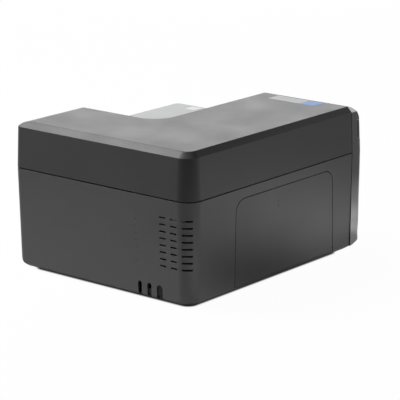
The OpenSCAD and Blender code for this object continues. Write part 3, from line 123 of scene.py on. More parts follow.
class PrinterStudio(bpy.types.PropertyGroup):
    """Camera and lamps"""

    azimuth: angle_property("Azimuth", "Turn of the camera about the printer", 219.80)
    elevation: angle_property("Elevation", "Height of the camera above the horizon", 15.20)
    roll: angle_property("Roll", "Turn of the camera about its view axis", -0.256)
    distance: length_property("Distance", "Distance from the camera to its aim point", 2.958)
    lens: bpy.props.FloatProperty(
        name="Lens", description="Focal length", subtype="DISTANCE_CAMERA", min=1, default=183.36)
    aim: bpy.props.FloatVectorProperty(
        name="Aim", description="Point that the camera looks at", subtype="TRANSLATION", unit="LENGTH",
        size=3, default=(-0.0129, -0.0032, 0.0864))
    surroundings: bpy.props.FloatProperty(
        name="Surroundings", description="Light that the white surroundings give", min=0, default=0.5)
    camera_side: bpy.props.FloatProperty(
        name="Camera side", description="Share of light from the side where the camera stands", min=0,
        default=0.35)
    key_power: power_property("Key", "Power of the key softbox overhead", 31.0)
    rim_power: power_property("Rim", "Power of the long softbox behind the printer", 20.0)
    rear_power: power_property("Rear wall box", "Power of the box that lights the rear wall", 18.0)
    door_power: power_property("Door box", "Power of the box that lights the side with the door", 10.0)
    nose_power: power_property("Nose box", "Power of the box that the front panel's upper edge reflects", 1.3)


class NodeTools:
    """Shorthand for the nodes of a finish, the floor or the surroundings"""

    def __init__(self, tree):
        self.tree = tree

    def feed(self, node, socket, value):
        """Sets an input to a plain value or links it to the output of another node"""
        if isinstance(value, bpy.types.NodeSocket):
            self.tree.links.new(value, node.inputs[socket])
        else:
            node.inputs[socket].default_value = value

    def add(self, kind, inputs=None, **settings):
        """Makes a node with its settings, then feeds its inputs"""
        made = self.tree.nodes.new("ShaderNode" + kind)
        for name, value in settings.items():
            setattr(made, name, value)
        for socket, value in (inputs or {}).items():
            self.feed(made, socket, value)
        return made

    def math(self, operation, *values, clamp=False):
        made = self.add("Math", dict(enumerate(values)), operation=operation, use_clamp=clamp)
        return made.outputs[0]

    def product(self, first, *others):
        for value in others:
            first = self.math("MULTIPLY", first, value)
        return first

    def ramp(self, value, start, end, low, high, shape="LINEAR"):
        """Runs from low where the value is start to high where it is end"""
        inputs = {"Value": value, "From Min": start, "From Max": end, "To Min": low, "To Max": high}
        return self.add("MapRange", inputs, interpolation_type=shape).outputs["Result"]


# The range in which nearly all values of a noise texture lie
NOISE_RANGE = (0.3, 0.7)
# Length of one wave of the wave texture at a scale of 1
WAVE_LENGTH = 0.314
# Sockets of a surface that reflects little
DULL = {"Specular IOR Level": 0.2}


class Finish(NodeTools):
    """A material in the making: its surface shader and the nodes that vary it"""

    def __init__(self, name, colour, roughness, sockets=None):
        self.material = bpy.data.materials.new(name)
        self.material.use_nodes = True
        super().__init__(self.material.node_tree)
        self.surface = self.tree.nodes["Principled BSDF"]
        self.colour = tuple(colour)
        for socket, value in {"Base Color": (*colour, 1), "Roughness": roughness, **(sockets or {})}.items():
            self.feed(self.surface, socket, value)
        self.place = self.add("TexCoord").outputs["Object"]
        self.rounded_normal = None

    def stretched(self, x, y, z):
        """Object coordinates scaled along each axis"""
        return self.add("Mapping", {"Scale": (x, y, z), "Vector": self.place}).outputs["Vector"]

    def noise(self, size, detail=2.0, place=None):
        """Noise whose features are about size metres wide"""
        inputs = {"Scale": 1 / size, "Detail": detail, "Vector": place or self.place}
        return self.add("TexNoise", inputs).outputs["Fac"]

    def cells(self, size, output="Distance", spread=1.0):
        """Cells about size metres wide"""
        inputs = {"Scale": 1 / size, "Randomness": spread, "Vector": self.place}
        return self.add("TexVoronoi", inputs).outputs[output]

    def waves(self, size, direction):
        """Parallel waves along an axis that repeat every size metres"""
        inputs = {"Scale": WAVE_LENGTH / size, "Vector": self.place}
        return self.add("TexWave", inputs, bands_direction=direction).outputs["Fac"]

    def mean(self, first, second):
        return self.math("MULTIPLY", self.math("ADD", first, second), 0.5)

    def vary_colour(self, factor, darker, lighter):
        """Lets the colour run between two shares of itself"""
        made = self.add("ValToRGB", {"Fac": factor})
        for element, position, share in zip(made.color_ramp.elements, NOISE_RANGE, (darker, lighter)):
            element.position = position
            element.color = (*(min(level * share, 1) for level in self.colour), 1)
        self.feed(self.surface, "Base Color", made.outputs["Color"])
        return made.outputs["Color"]

    def overlay(self, below, colour, factor):
        """Lays a colour over another where the factor is high"""
        made = self.add("Mix", {"A": below, "B": (*colour, 1), "Factor": factor}, data_type="RGBA")
        self.feed(self.surface, "Base Color", made.outputs["Result"])
        return made.outputs["Result"]

    def vary_roughness(self, factor, low, high):
        self.feed(self.surface, "Roughness", self.ramp(factor, *NOISE_RANGE, low, high))

    def relief(self, factor, depth):
        """Raises the surface by depth metres where the factor is high"""
        made = self.add("Bump", {"Distance": depth, "Height": factor})
        if self.rounded_normal:
            self.feed(made, "Normal", self.rounded_normal)
        self.feed(self.surface, "Normal", made.outputs["Normal"])

    def glint(self, radius):
        """Lets edges catch light as if rounded with this radius"""
        self.rounded_normal = self.add("Bevel", {"Radius": radius}, samples=4).outputs["Normal"]


def moulded_plastic(name, colour, texture, roughness, depth_share=1.0, sockets=None):
    """Plastic with the fine spark-eroded texture of its mould, in the sizes of the printer's finishes"""
    finish = Finish(name, colour, roughness, sockets)
    finish.glint(texture.edge_glint)
    fine = finish.noise(texture.grain, detail=3)
    mixed = finish.mean(fine, finish.noise(60 * MM))
    finish.vary_colour(mixed, 0.86, 1.16)
    finish.vary_roughness(mixed, roughness - 0.06, roughness + 0.06)
    finish.relief(fine, texture.grain_depth * depth_share)
    return finish.material


def satin_plastic(name, colour, roughness=0.38, sockets=None):
    """Smooth inner moulding with faint flow marks"""
    finish = Finish(name, colour, roughness, sockets)
    flow = finish.noise(14 * MM, detail=4)
    finish.vary_colour(flow, 0.9, 1.12)
    finish.vary_roughness(flow, roughness - 0.07, roughness + 0.07)
    finish.relief(finish.noise(0.9 * MM), 0.012 * MM)
    return finish.material


def gloss_plastic(name, colour, roughness=0.07):
    """Polished plastic with a trace of orange peel and handling"""
    finish = Finish(name, colour, roughness, {"Coat Weight": 1.0, "Coat Roughness": 0.03})
    finish.glint(1.6 * MM)
    finish.vary_colour(finish.noise(30 * MM), 0.9, 1.1)
    finish.vary_roughness(finish.noise(25 * MM, detail=6), roughness - 0.02, roughness + 0.07)
    finish.relief(finish.noise(7 * MM, detail=1), 0.01 * MM)
    return finish.material


def smoked_window(name, colour):
    """Tinted acrylic over the status lamps, with painted highlights as pale bands along its lower and upper
    edges
    """
    painted_highlight_width = 0.9 * MM
    low, high = (corner.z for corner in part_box("status_window"))
    finish = Finish(name, colour, 0.04, {"Transmission Weight": 0.35, "IOR": 1.49})
    tinted = finish.vary_colour(finish.noise(20 * MM), 0.85, 1.1)
    height = finish.add("SeparateXYZ", {"Vector": finish.place}).outputs["Z"]
    from_middle = finish.math("ABSOLUTE", finish.math("SUBTRACT", height, (low + high) / 2))
    # Pale bands along the lower and upper edges: painted highlights
    edge = finish.math("GREATER_THAN", from_middle, (high - low) / 2 - painted_highlight_width)
    finish.overlay(tinted, chip(150, 158, 164), edge)
    finish.vary_roughness(finish.noise(12 * MM, detail=5), 0.03, 0.09)
    return finish.material


def milky_window(name, colour):
    """White window that lets a little light through"""
    finish = Finish(name, colour, 0.5, {"Subsurface Weight": 0.3, "Subsurface Scale": 0.002, **DULL})
    finish.vary_colour(finish.noise(6 * MM), 0.95, 1.0)
    finish.vary_roughness(finish.noise(8 * MM, detail=4), 0.44, 0.56)
    return finish.material


def translucent_tank(name, colour):
    """Blow-moulded tank with clouded walls"""
    finish = Finish(name, colour, 0.42, {"Transmission Weight": 0.25, "Subsurface Weight": 0.2,
                                         "Subsurface Scale": 0.004})
    finish.vary_colour(finish.noise(22 * MM, detail=4), 0.86, 1.04)
    finish.vary_roughness(finish.noise(5 * MM, detail=3), 0.34, 0.5)
    finish.relief(finish.noise(3 * MM), 0.06 * MM)
    return finish.material


def rubber(name, colour, roughness=0.78, ribbed=None):
    """Matt rubber, fine grained or ribbed along an axis"""
    finish = Finish(name, colour, roughness)
    dust = finish.noise(4 * MM, detail=5)
    finish.vary_colour(dust, 0.85, 1.35)
    finish.vary_roughness(dust, roughness - 0.1, roughness + 0.1)
    if ribbed:
        finish.relief(finish.waves(0.8 * MM, ribbed), 0.12 * MM)
    else:
        finish.relief(finish.noise(0.4 * MM, detail=3), 0.03 * MM)
    return finish.material


def zinc_sheet(name, colour):
    """Zinc-plated steel sheet: faint spangle and rolling marks"""
    finish = Finish(name, colour, 0.34, {"Metallic": 1.0})
    spangle = finish.add("RGBToBW", {"Color": finish.cells(7 * MM, output="Color")}).outputs["Val"]
    rolled = finish.noise(1 * MM, detail=3, place=finish.stretched(0.05, 1, 1))
    mixed = finish.mean(spangle, rolled)
    finish.vary_colour(mixed, 0.82, 1.12)
    finish.vary_roughness(mixed, 0.26, 0.46)
    finish.relief(rolled, 0.006 * MM)
    return finish.material


def ground_steel(name, colour):
    """Ground and polished rod with fine turning marks across the X axis"""
    finish = Finish(name, colour, 0.14, {"Metallic": 1.0})
    marks = finish.noise(0.3 * MM, detail=3, place=finish.stretched(1, 0.05, 0.05))
    finish.vary_colour(marks, 0.9, 1.05)
    finish.vary_roughness(marks, 0.1, 0.24)
    finish.relief(marks, 0.003 * MM)
    return finish.material


def turned_metal(name, colour, roughness=0.28):
    """Turned metal: fine even marks in the surface"""
    finish = Finish(name, colour, roughness, {"Metallic": 1.0})
    marks = finish.noise(0.5 * MM, detail=5)
    finish.vary_colour(marks, 0.86, 1.08)
    finish.vary_roughness(marks, roughness - 0.08, roughness + 0.12)
    finish.relief(marks, 0.006 * MM)
    return finish.material


def lacquered_metal(name, colour):
    """Motor can with a thin satin lacquer"""
    finish = Finish(name, colour, 0.4, {"Metallic": 0.65, "Coat Weight": 0.3, "Coat Roughness": 0.3})
    cloudy = finish.noise(9 * MM, detail=5)
    finish.vary_colour(cloudy, 0.85, 1.15)
    finish.vary_roughness(cloudy, 0.32, 0.5)
    finish.relief(finish.noise(0.6 * MM), 0.012 * MM)
    return finish.material


def circuit_board(name, colour):
    """Solder mask over tracks, with tinned pads"""
    finish = Finish(name, colour, 0.3, {"Coat Weight": 0.3, "Coat Roughness": 0.15})
    body = finish.vary_colour(finish.noise(10 * MM, detail=3), 0.85, 1.15)
    tracks = finish.math("MULTIPLY", finish.waves(2.4 * MM, "X"), finish.cells(9 * MM))
    lighter = tuple(min(1.0, level * 2.2 + 0.01) for level in colour)
    tracked = finish.overlay(body, lighter, finish.ramp(tracks, 0.42, 0.46, 0, 0.8))
    pads = finish.math("LESS_THAN", finish.cells(5 * MM, spread=0.6), 0.13)
    finish.overlay(tracked, chip(205, 198, 176), pads)
    finish.relief(tracks, 0.03 * MM)
    return finish.material


FINISHERS = {
    "casing": lambda f: moulded_plastic("casing_charcoal", f.casing, f, f.casing_roughness),
    "cover_skin_painted_shade": lambda f: moulded_plastic("cover_charcoal", f.cover, f, f.casing_roughness),
    "door_skin": lambda f: moulded_plastic("door_charcoal", f.door, f, f.casing_roughness),
    "gloss_black": lambda f: gloss_plastic("panel_gloss_black", f.gloss),
    "smoke_window": lambda f: smoked_window("window_smoke", f.smoke),
    # Near-black finish for the walls of gaps and seams: painted shade
    "gap_painted_shade": lambda f: satin_plastic("gap_painted_shade", chip(12, 12, 13), 0.6),
    "inner_black": lambda f: satin_plastic("inner_satin_black", f.inner),
    "rubber": lambda f: rubber("foot_rubber", chip(24, 24, 25)),
    "hopper_dark": lambda f: moulded_plastic("hopper_dark_grey", f.hopper, f, 0.5),
    "light_grey": lambda f: moulded_plastic("lid_light_grey", f.light_grey, f, 0.6, 0.5, DULL),
    "milky_window": lambda f: milky_window("window_milky", chip(208, 209, 209)),
    "blue_plastic": lambda f: satin_plastic("grip_blue", f.blue, 0.36),
    "accent_blue": lambda f: satin_plastic("accent_blue", f.accent, 0.6, DULL),
    "button_grey": lambda f: satin_plastic("button_grey", chip(72, 74, 78), 0.32),
    "sheet_metal": lambda f: zinc_sheet("zinc_sheet", chip(190, 192, 196)),
    "steel_rod": lambda f: ground_steel("ground_steel", chip(212, 214, 217)),
    "motor_metal": lambda f: lacquered_metal("motor_can", chip(120, 122, 126)),
    "belt": lambda f: rubber("belt_rubber", chip(28, 28, 29), 0.7),
    "pulley_alu": lambda f: turned_metal("pulley_aluminium", chip(216, 217, 219)),
    "gear_white": lambda f: satin_plastic("gear_white", chip(226, 223, 214), 0.42),
    "brass": lambda f: turned_metal("pinion_brass", chip(205, 172, 96), 0.25),
    "roller_rubber": lambda f: rubber("roller_rubber", chip(58, 58, 60), 0.8, ribbed="X"),
    "roller_silver": lambda f: turned_metal("cleaning_roller_silver", chip(196, 198, 202), 0.36),
    "pcb": lambda f: circuit_board("board_green", f.solder_mask),
    "psu_metal": lambda f: zinc_sheet("power_supply_case", chip(184, 186, 190)),
    "tank": lambda f: translucent_tank("waste_tank_clouded", chip(206, 209, 212)),
    "port_metal": lambda f: turned_metal("port_plating", chip(196, 197, 200), 0.2),
}

CASING_NODES = ("base_shell", "top_cover", "side_door", "hopper_body", "hopper_lid", "output_tray",
                "base_pan")
PANEL_NODES = ("front_panel", "status_window", "power_button", "feed_button", "name_plate", "accent_tile",
               "hopper_window", "output_chute")
# Nodes whose finish differs from the rest of their slot: the top cover's darker copy of the casing charcoal
# is painted shade
OWN_FINISH = {"top_cover": "cover_skin_painted_shade"}
# Nodes on which free rounding strays at thin slivers
CLAMPED_NODES = ("top_cover", "output_chute", "hopper_lid", "front_panel", "cartridge_latch",
                 "cover_hinge_pins")
# Nodes whose mesh is too finely cut for rounding, so that only their finish softens the edges
UNROUNDED_NODES = ("base_shell", "side_door")
# Least turn between two faces of a node, and of a small fitting, that makes a sharp edge
NODE_EDGE = math.radians(28)
FITTING_EDGE = math.radians(35)
# Height above or depth below the desk from which surfaces are sought
SEEK_FROM = 0.3


def slot_of(node):
    """The finish of a CAD node: its own, or that of its material slot in the record"""
    slots = {part["node"]: part["material_slot"] for part in frame["record"]["subparts"]}
    return OWN_FINISH.get(node, slots[node])


def finish_for(slot, finishes):
    """The material of a slot, made once"""
    known = dict(bpy.context.scene.get("card_printer_slots", {}))
    if slot not in known:
        known[slot] = FINISHERS[slot](finishes).name
        bpy.context.scene["card_printer_slots"] = known
    return bpy.data.materials[known[slot]]


def paint(node, finish, finishes, chosen):
    """Gives another finish to the faces that a test of their middle and normal chooses"""
    shown = nodes[node]
    bpy.context.view_layer.update()
    placed = shown.matrix_world
    turned = placed.to_3x3()
    shown.data.materials.append(finish_for(finish, finishes))
    number = len(shown.data.materials) - 1
    for polygon in shown.data.polygons:
        if chosen(placed @ polygon.center, turned @ polygon.normal):
            polygon.material_index = number


def dress(node, context):
    """Gives a CAD node its finish, smooth curved faces and softened edges"""
    shown = nodes[node]
    shown.data.materials.clear()
    shown.data.materials.append(finish_for(slot_of(node), context.scene.printer_finishes))
    for polygon in shown.data.polygons:
        polygon.use_smooth = True
        polygon.material_index = 0
    weld = shown.modifiers.new("join_faces", "WELD")
    weld.merge_threshold = 0.04 * MM
    if node in UNROUNDED_NODES:
        split = shown.modifiers.new("keep_corners", "EDGE_SPLIT")
        split.split_angle = NODE_EDGE
    else:
        rounding = shown.modifiers.new("soften_edges", "BEVEL")
        rounding.width = context.scene.printer_trim.part_edge
        rounding.segments = 2
        rounding.limit_method = "ANGLE"
        rounding.angle_limit = NODE_EDGE
        rounding.use_clamp_overlap = node in CLAMPED_NODES
    even = shown.modifiers.new("even_shading", "WEIGHTED_NORMAL")
    even.mode = "FACE_AREA"
    even.weight = 80


def surface_point(node, start, direction):
    """Where a line from start first meets a CAD node at rest, or None"""
    shown = nodes[node]
    back = shown.matrix_world.inverted()
    hit, point, _, _ = shown.ray_cast(back @ Vector(start), back.to_3x3() @ Vector(direction))
    return shown.matrix_world @ point if hit else None


def board_point(x, y):
    """The highest point of the main board at x, y, or None"""
    return surface_point("main_board", (x, y, SEEK_FROM), (0, 0, -1))


def board_face():
    """Height of the main board's upper face, found at a place with no parts"""
    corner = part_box("main_board")[0]
    return board_point(corner.x + 2 * MM, corner.y + 30 * MM).z


class CARDPRINTER_OT_casing(bpy.types.Operator):
    """Finish the casing, the covers, the hopper and the tray"""

    bl_idname = "card_printer.casing"
    bl_label = "Casing"

    def execute(self, context):
        finishes = context.scene.printer_finishes
        for node in CASING_NODES:
            dress(node, context)
        # Painted shade: the walls of the narrow gaps between the mouldings get a near-black finish, at the
        # door the faces that turn away from X, and at the seam the base's rim and the cover's lower rim
        turned = 0.5
        gap = 2.5 * MM
        low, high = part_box("side_door")
        base_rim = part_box("base_shell")[1].z
        cover_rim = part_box("top_cover")[0].z

        def at_doorway(middle, normal):
            beside = low.y - gap < middle.y < high.y + gap and middle.z < high.z + gap
            return beside and middle.x < high.x and abs(normal.x) < turned and not normal.z < -turned

        paint("side_door", "gap_painted_shade", finishes, lambda middle, normal: abs(normal.x) < turned)
        paint("base_shell", "gap_painted_shade", finishes,
              lambda middle, normal: middle.z > base_rim - 0.5 * MM or at_doorway(middle, normal))
        paint("top_cover", "gap_painted_shade", finishes,
              lambda middle, normal: normal.z < -0.9 and middle.z < cover_rim + 1 * MM)
        return {"FINISHED"}


class CARDPRINTER_OT_panel(bpy.types.Operator):
    """Finish the front panel, its window and buttons, the plates and the output frame"""

    bl_idname = "card_printer.panel"
    bl_label = "Front panel"

    def execute(self, context):
        for node in PANEL_NODES:
            dress(node, context)
        return {"FINISHED"}


class CARDPRINTER_OT_mechanism(bpy.types.Operator):
    """Finish the chassis, the drives, the boards and all other inner pieces"""

    bl_idname = "card_printer.mechanism"
    bl_label = "Mechanism"

    def execute(self, context):
        finishes = context.scene.printer_finishes
        for node in sorted(nodes):
            if node not in CASING_NODES + PANEL_NODES:
                dress(node, context)
        bpy.context.view_layer.update()
        # Chips, plug housings and the tops of tall cans on the main board
        face = board_face()
        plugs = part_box("main_board")[1].x - 13 * MM
        above, tall = face + 0.1 * MM, face + 6 * MM
        paint("main_board", "inner_black", finishes,
              lambda middle, normal: middle.z > above and middle.x < plugs)
        paint("main_board", "gear_white", finishes,
              lambda middle, normal: middle.z > above and middle.x > plugs)
        paint("main_board", "port_metal", finishes,
              lambda middle, normal: middle.z > tall and middle.x < plugs and normal.z > 0.9)
        # Shaft and gear of the pick roller
        low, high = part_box("pick_roller")
        axis = (low + high) / 2
        shaft, gear = 3.2 * MM, high.x - 7 * MM

        def off_axis(middle):
            return math.hypot(middle.y - axis.y, middle.z - axis.z)

        paint("pick_roller", "steel_rod", finishes, lambda middle, normal: off_axis(middle) < shaft)
        paint("pick_roller", "gear_white", finishes,
              lambda middle, normal: middle.x > gear and off_axis(middle) > shaft)
        # Screw heads on the deck's posts, and the lips of the cap and the wiper
        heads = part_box("deck_posts")[1].z - 2.3 * MM
        paint("deck_posts", "port_metal", finishes, lambda middle, normal: middle.z > heads)
        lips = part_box("service_station")[1].z - 2.5 * MM
        paint("service_station", "rubber", finishes, lambda middle, normal: middle.z > lips)
        return {"FINISHED"}


def finished_piece(name, mesh, slot, context):
    """Makes a piece of the base from bmesh data and sets its finish"""
    data = bpy.data.meshes.new(name)
    bmesh.ops.recalc_face_normals(mesh, faces=mesh.faces)
    mesh.to_mesh(data)
    mesh.free()
    data.materials.append(finish_for(slot, context.scene.printer_finishes))
    piece = bpy.data.objects.new(name, data)
    bpy.context.scene.collection.objects.link(piece)
    for polygon in data.polygons:
        polygon.use_smooth = True
    split = piece.modifiers.new("keep_corners", "EDGE_SPLIT")
    split.split_angle = FITTING_EDGE
    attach(piece, "printer_base")


def join_rings(mesh, lower, upper):
    """Adds the faces between two closed rings of equally many corners"""
    for i in range(len(lower)):
        j = (i + 1) % len(lower)
        mesh.faces.new((lower[i], lower[j], upper[j], upper[i]))


# Shares of a screw head's radius and height, from its foot to its top
HEAD_PROFILE = ((1.0, 0.0), (1.0, 0.35), (0.93, 0.7), (0.78, 0.9), (0.62, 1.0))
HEAD_CORNERS = 28


def add_screw(mesh, place, direction, radius):
    """Adds a domed screw head with a cross recess that stands on place along direction"""
    upright = Vector(direction).to_track_quat("Z", "Y").to_matrix().to_4x4()
    upright.translation = Vector(place)
    height = 0.7 * radius

    def ring(outline, level):
        return [mesh.verts.new(upright @ Vector((x, y, height * level))) for x, y in outline]

    turns = [math.tau * i / HEAD_CORNERS for i in range(HEAD_CORNERS)]
    rings = []
    for share, level in HEAD_PROFILE:
        wide = radius * share
        rings.append(ring([(wide * math.cos(turn), wide * math.sin(turn)) for turn in turns], level))
    for lower, upper in zip(rings, rings[1:]):
        join_rings(mesh, lower, upper)
    # Cross recess with tapered walls
    arm, half = 0.5 * radius, 0.11 * radius
    quarter = [(arm, -half), (arm, half), (half, half)]
    cross = []
    for _ in range(4):
        cross += quarter
        quarter = [(-y, x) for x, y in quarter]
    top = ring(cross, 1.0)
    bottom = ring([(0.55 * x, 0.55 * y) for x, y in cross], 0.35)
    edges = []
    for outline in (rings[-1], top):
        for pair in zip(outline, outline[1:] + outline[:1]):
            edges.append(mesh.edges.get(pair) or mesh.edges.new(pair))
    bmesh.ops.triangle_fill(mesh, edges=edges, use_beauty=True)
    join_rings(mesh, top, bottom)
    mesh.faces.new(bottom)


def screw_places():
    """Groups of screws as (name, node, direction of the heads, places)"""

    def grid(node, margin):
        low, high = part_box(node)
        return [(x, y) for x in (low.x + margin, high.x - margin) for y in (low.y + margin, high.y - margin)]

    inset = 6 * MM
    low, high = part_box("base_pan")
    pan_rows = (low.y + 14 * MM, 0.1 * MM, high.y - 60 * MM)
    return [
        ("board_screws", "main_board", (0, 0, 1), grid("main_board", inset)),
        ("supply_screws", "power_supply", (0, 0, 1), grid("power_supply", inset)),
        ("pan_screws", "base_pan", (0, 0, -1),
         [(x, y) for x in (low.x + 34 * MM, high.x - 34 * MM) for y in pan_rows]),
    ]


class CARDPRINTER_OT_screws(bpy.types.Operator):
    """Make the screws of the main board, the power supply and the pan"""

    bl_idname = "card_printer.screws"
    bl_label = "Screws"

    def execute(self, context):
        radius = context.scene.printer_trim.screw_head / 2
        bpy.context.view_layer.update()
        for name, node, direction, places in screw_places():
            mesh = bmesh.new()
            for x, y in places:
                found = surface_point(node, (x, y, SEEK_FROM * direction[2]), -Vector(direction))
                if found:
                    add_screw(mesh, found, direction, radius)
            finished_piece(name, mesh, "port_metal", context)
        return {"FINISHED"}


# Each toothed belt with the axis along which it runs and the one across which its two runs lie apart
BELT_AXES = {"carriage_belt": (1, 2), "shuttle_belt": (0, 1)}
TOOTH_DEPTH = 0.45 * MM
# How far the teeth are sunk into the belt, stop short of its edges and keep from its pulleys
TOOTH_SUNK = 0.05 * MM
TOOTH_INSET = 0.2 * MM
PULLEY_ROOM = 4 * MM


def add_teeth(mesh, belt, side, pitch):
    """Adds the teeth on the inner face of one straight run of a belt"""
    run, rise = BELT_AXES[belt]
    across = 3 - run - rise
    low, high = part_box(belt)
    outwards = Vector((0, 0, 0))
    outwards[rise] = side
    face = surface_point(belt, (low + high) / 2, outwards)[rise]
    clear = (high[rise] - low[rise]) / 2 + PULLEY_ROOM
    left, right = low[across] + TOOTH_INSET, high[across] - TOOTH_INSET
    half = 0.25 * pitch
    for i in range(int((high[run] - low[run] - 2 * clear) / pitch)):
        along = low[run] + clear + (i + 0.5) * pitch
        rings = []
        for width, depth in ((half, -TOOTH_SUNK), (0.6 * half, TOOTH_DEPTH)):
            rings.append([])
            for step, edge in ((-width, left), (width, left), (width, right), (-width, right)):
                corner = Vector((0, 0, 0))
                corner[run] = along + step
                corner[rise] = face - side * depth
                corner[across] = edge
                rings[-1].append(mesh.verts.new(corner))
        join_rings(mesh, *rings)
        mesh.faces.new(rings[1])


class CARDPRINTER_OT_belt_teeth(bpy.types.Operator):
    """Make the teeth on the inner side of both belts"""

    bl_idname = "card_printer.belt_teeth"
    bl_label = "Belt teeth"

    def execute(self, context):
        bpy.context.view_layer.update()
        for belt in BELT_AXES:
            mesh = bmesh.new()
            for side in (-1, 1):
                add_teeth(mesh, belt, side, context.scene.printer_trim.belt_pitch)
            finished_piece(belt + "_teeth", mesh, "belt", context)
        return {"FINISHED"}


# Small parts on the main board: their number, the most tries, and length, width and height by kind
BOARD_PARTS = 90
BOARD_TRIES = 900
SMALL_PART = (1.6 * MM, 0.8 * MM, 0.55 * MM)
LARGE_PART = (3.2 * MM, 1.6 * MM, 1.2 * MM)
# Every so many parts one is a large one
LARGE_EVERY = 4
# Steps of the grid on which they stand
GRID_X, GRID_Y = 2.5 * MM, 5 * MM
BOARD_SEED = 7


def add_block(mesh, low, high):
    """Adds a block between two corners with chamfered top edges"""
    chamfer = 0.08 * MM
    x0, y0, z0 = low
    x1, y1, z1 = high
    rings = []
    for z, i in ((z0, 0.0), (z1 - chamfer, 0.0), (z1, chamfer)):
        outline = ((x0 + i, y0 + i), (x1 - i, y0 + i), (x1 - i, y1 - i), (x0 + i, y1 - i))
        rings.append([mesh.verts.new((x, y, z)) for x, y in outline])
    for lower, upper in zip(rings, rings[1:]):
        join_rings(mesh, lower, upper)
    mesh.faces.new(rings[0][::-1])
    mesh.faces.new(rings[-1])


def add_board_part(bodies, ends, x, y, face, size):
    """Adds a small part with a plated cap at each end, sunk a little into the board"""
    length, width, height = size
    cap = 0.22 * length
    foot = face - 0.02 * MM
    left, right = x - length / 2, x + length / 2
    add_block(bodies, (left + cap, y - width / 2, foot), (right - cap, y + width / 2, face + height))
    side, top = 0.52 * width, face + height * 1.04
    for start in (left, right - cap):
        add_block(ends, (start, y - side, foot), (start + cap, y + side, top))


class CARDPRINTER_OT_board_parts(bpy.types.Operator):
    """Make the small parts on the main board"""

    bl_idname = "card_printer.board_parts"
    bl_label = "Board parts"

    def execute(self, context):
        low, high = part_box("main_board")
        bpy.context.view_layer.update()
        face = board_face()
        chance = random.Random(BOARD_SEED)
        bodies, ends = bmesh.new(), bmesh.new()
        placed = 0
        for _ in range(BOARD_TRIES):
            if placed == BOARD_PARTS:
                break
            x = round(chance.uniform(low.x + 14 * MM, high.x - 18 * MM) / GRID_X) * GRID_X
            y = round(chance.uniform(low.y + 12 * MM, high.y - 12 * MM) / GRID_Y) * GRID_Y
            around = [board_point(x + i, y + j) for i in (-2 * MM, 2 * MM) for j in (-1 * MM, 1 * MM)]
            if any(point is None or abs(point.z - face) > 0.2 * MM for point in around):
                continue
            placed += 1
            add_board_part(bodies, ends, x, y, face, SMALL_PART if placed % LARGE_EVERY else LARGE_PART)
        finished_piece("board_part_bodies", bodies, "inner_black", context)
        finished_piece("board_part_ends", ends, "port_metal", context)
        return {"FINISHED"}


# The side where the camera stands, as a level direction
NEAR_SIDE = (-0.64, 0.77, 0.0)
# A dark wall high up in front of the door's side, which the side chamfer reflects
DARK_WALL = (-0.29, -0.70, 0.65)
# Middle of a soft dark patch of painted shade in the floor's glow, which reflections find
SHADE_SPOT = (-0.27, 0.0)
# Share of plain white in the floor that the camera sees
FLOOR_WHITENESS = 0.97
FLOOR_SIZE = 14.0
# Radius of the base's upright corners at the floor
FOOT_CORNER = 14 * MM
# Upper edge of the front panel, which the nose box lights
PANEL_EDGE = (-0.157, -0.177, 0.21)
X_AXIS, Y_AXIS = (1, 0, 0), (0, 1, 0)


def softbox(name, place, size, power, aim):
    """Area lamp that faces the aim point"""
    lamp = bpy.data.lights.new(name, "AREA")
    lamp.shape = "RECTANGLE"
    lamp.size, lamp.size_y = size
    lamp.energy = power
    box = bpy.data.objects.new(name, lamp)
    box.location = place
    box.rotation_mode = "QUATERNION"
    box.rotation_quaternion = (Vector(aim) - Vector(place)).to_track_quat("-Z", "Y")
    bpy.context.scene.collection.objects.link(box)


class StageNodes(NodeTools):
    """The nodes of the floor and the surroundings"""

    def __init__(self, tree):
        super().__init__(tree)
        self.path = self.add("LightPath")

    def along(self, vector, direction):
        """How far a vector reaches in a direction"""
        return self.add("VectorMath", {0: vector, 1: direction}, operation="DOT_PRODUCT").outputs["Value"]

    def fade(self, value, start, end, low, high):
        """Runs smoothly from low at start to high at end"""
        return self.ramp(value, start, end, low, high, "SMOOTHSTEP")

    def length(self, x, y):
        """Length of a level vector"""
        return self.math("SQRT", self.math("ADD", self.product(x, x), self.product(y, y)))

    def rays(self, *names):
        """1 for rays of these kinds"""
        total = self.path.outputs[names[0]]
        for name in names[1:]:
            total = self.math("ADD", total, self.path.outputs[name], clamp=True)
        return total

    def white(self, kind, strength):
        """White emission or background of this strength"""
        return self.add(kind, {"Color": (1, 1, 1, 1), "Strength": strength}).outputs[0]

    def mix(self, factor, first, second):
        return self.add("MixShader", {"Fac": factor, 1: first, 2: second}).outputs[0]


def white_world(studio):
    """White background whose light is weaker from the side where the camera stands"""
    world = bpy.data.worlds.new("white_surroundings")
    bpy.context.scene.world = world
    world.use_nodes = True
    stage = StageNodes(world.node_tree)
    direction = stage.add("TexCoord").outputs["Generated"]
    level = stage.product(
        stage.fade(stage.along(direction, NEAR_SIDE), 0.1, 0.9, 1.0, studio.camera_side),
        stage.fade(stage.along(direction, DARK_WALL), 0.65, 0.95, 1.0, 0.0))
    lighting = stage.white("Background", stage.product(level, studio.surroundings))
    surface = stage.mix(stage.rays("Is Glossy Ray"), lighting, stage.white("Background", level))
    surface = stage.mix(stage.rays("Is Camera Ray", "Is Transmission Ray"), surface,
                        stage.white("Background", 1.0))
    stage.feed(stage.tree.nodes["World Output"], "Surface", surface)


def outside_foot(stage, place):
    """Distance outside the base's footprint with its round corners, negative under the base"""
    low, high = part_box("base_pan")
    reach = []
    for axis, direction in enumerate((X_AXIS, Y_AXIS)):
        middle, half_side = (low[axis] + high[axis]) / 2, (high[axis] - low[axis]) / 2
        offset = stage.math("ABSOLUTE", stage.math("SUBTRACT", stage.along(place, direction), middle))
        reach.append(stage.math("MAXIMUM", stage.math("SUBTRACT", offset, half_side - FOOT_CORNER), 0.0))
    return stage.math("SUBTRACT", stage.length(*reach), FOOT_CORNER)


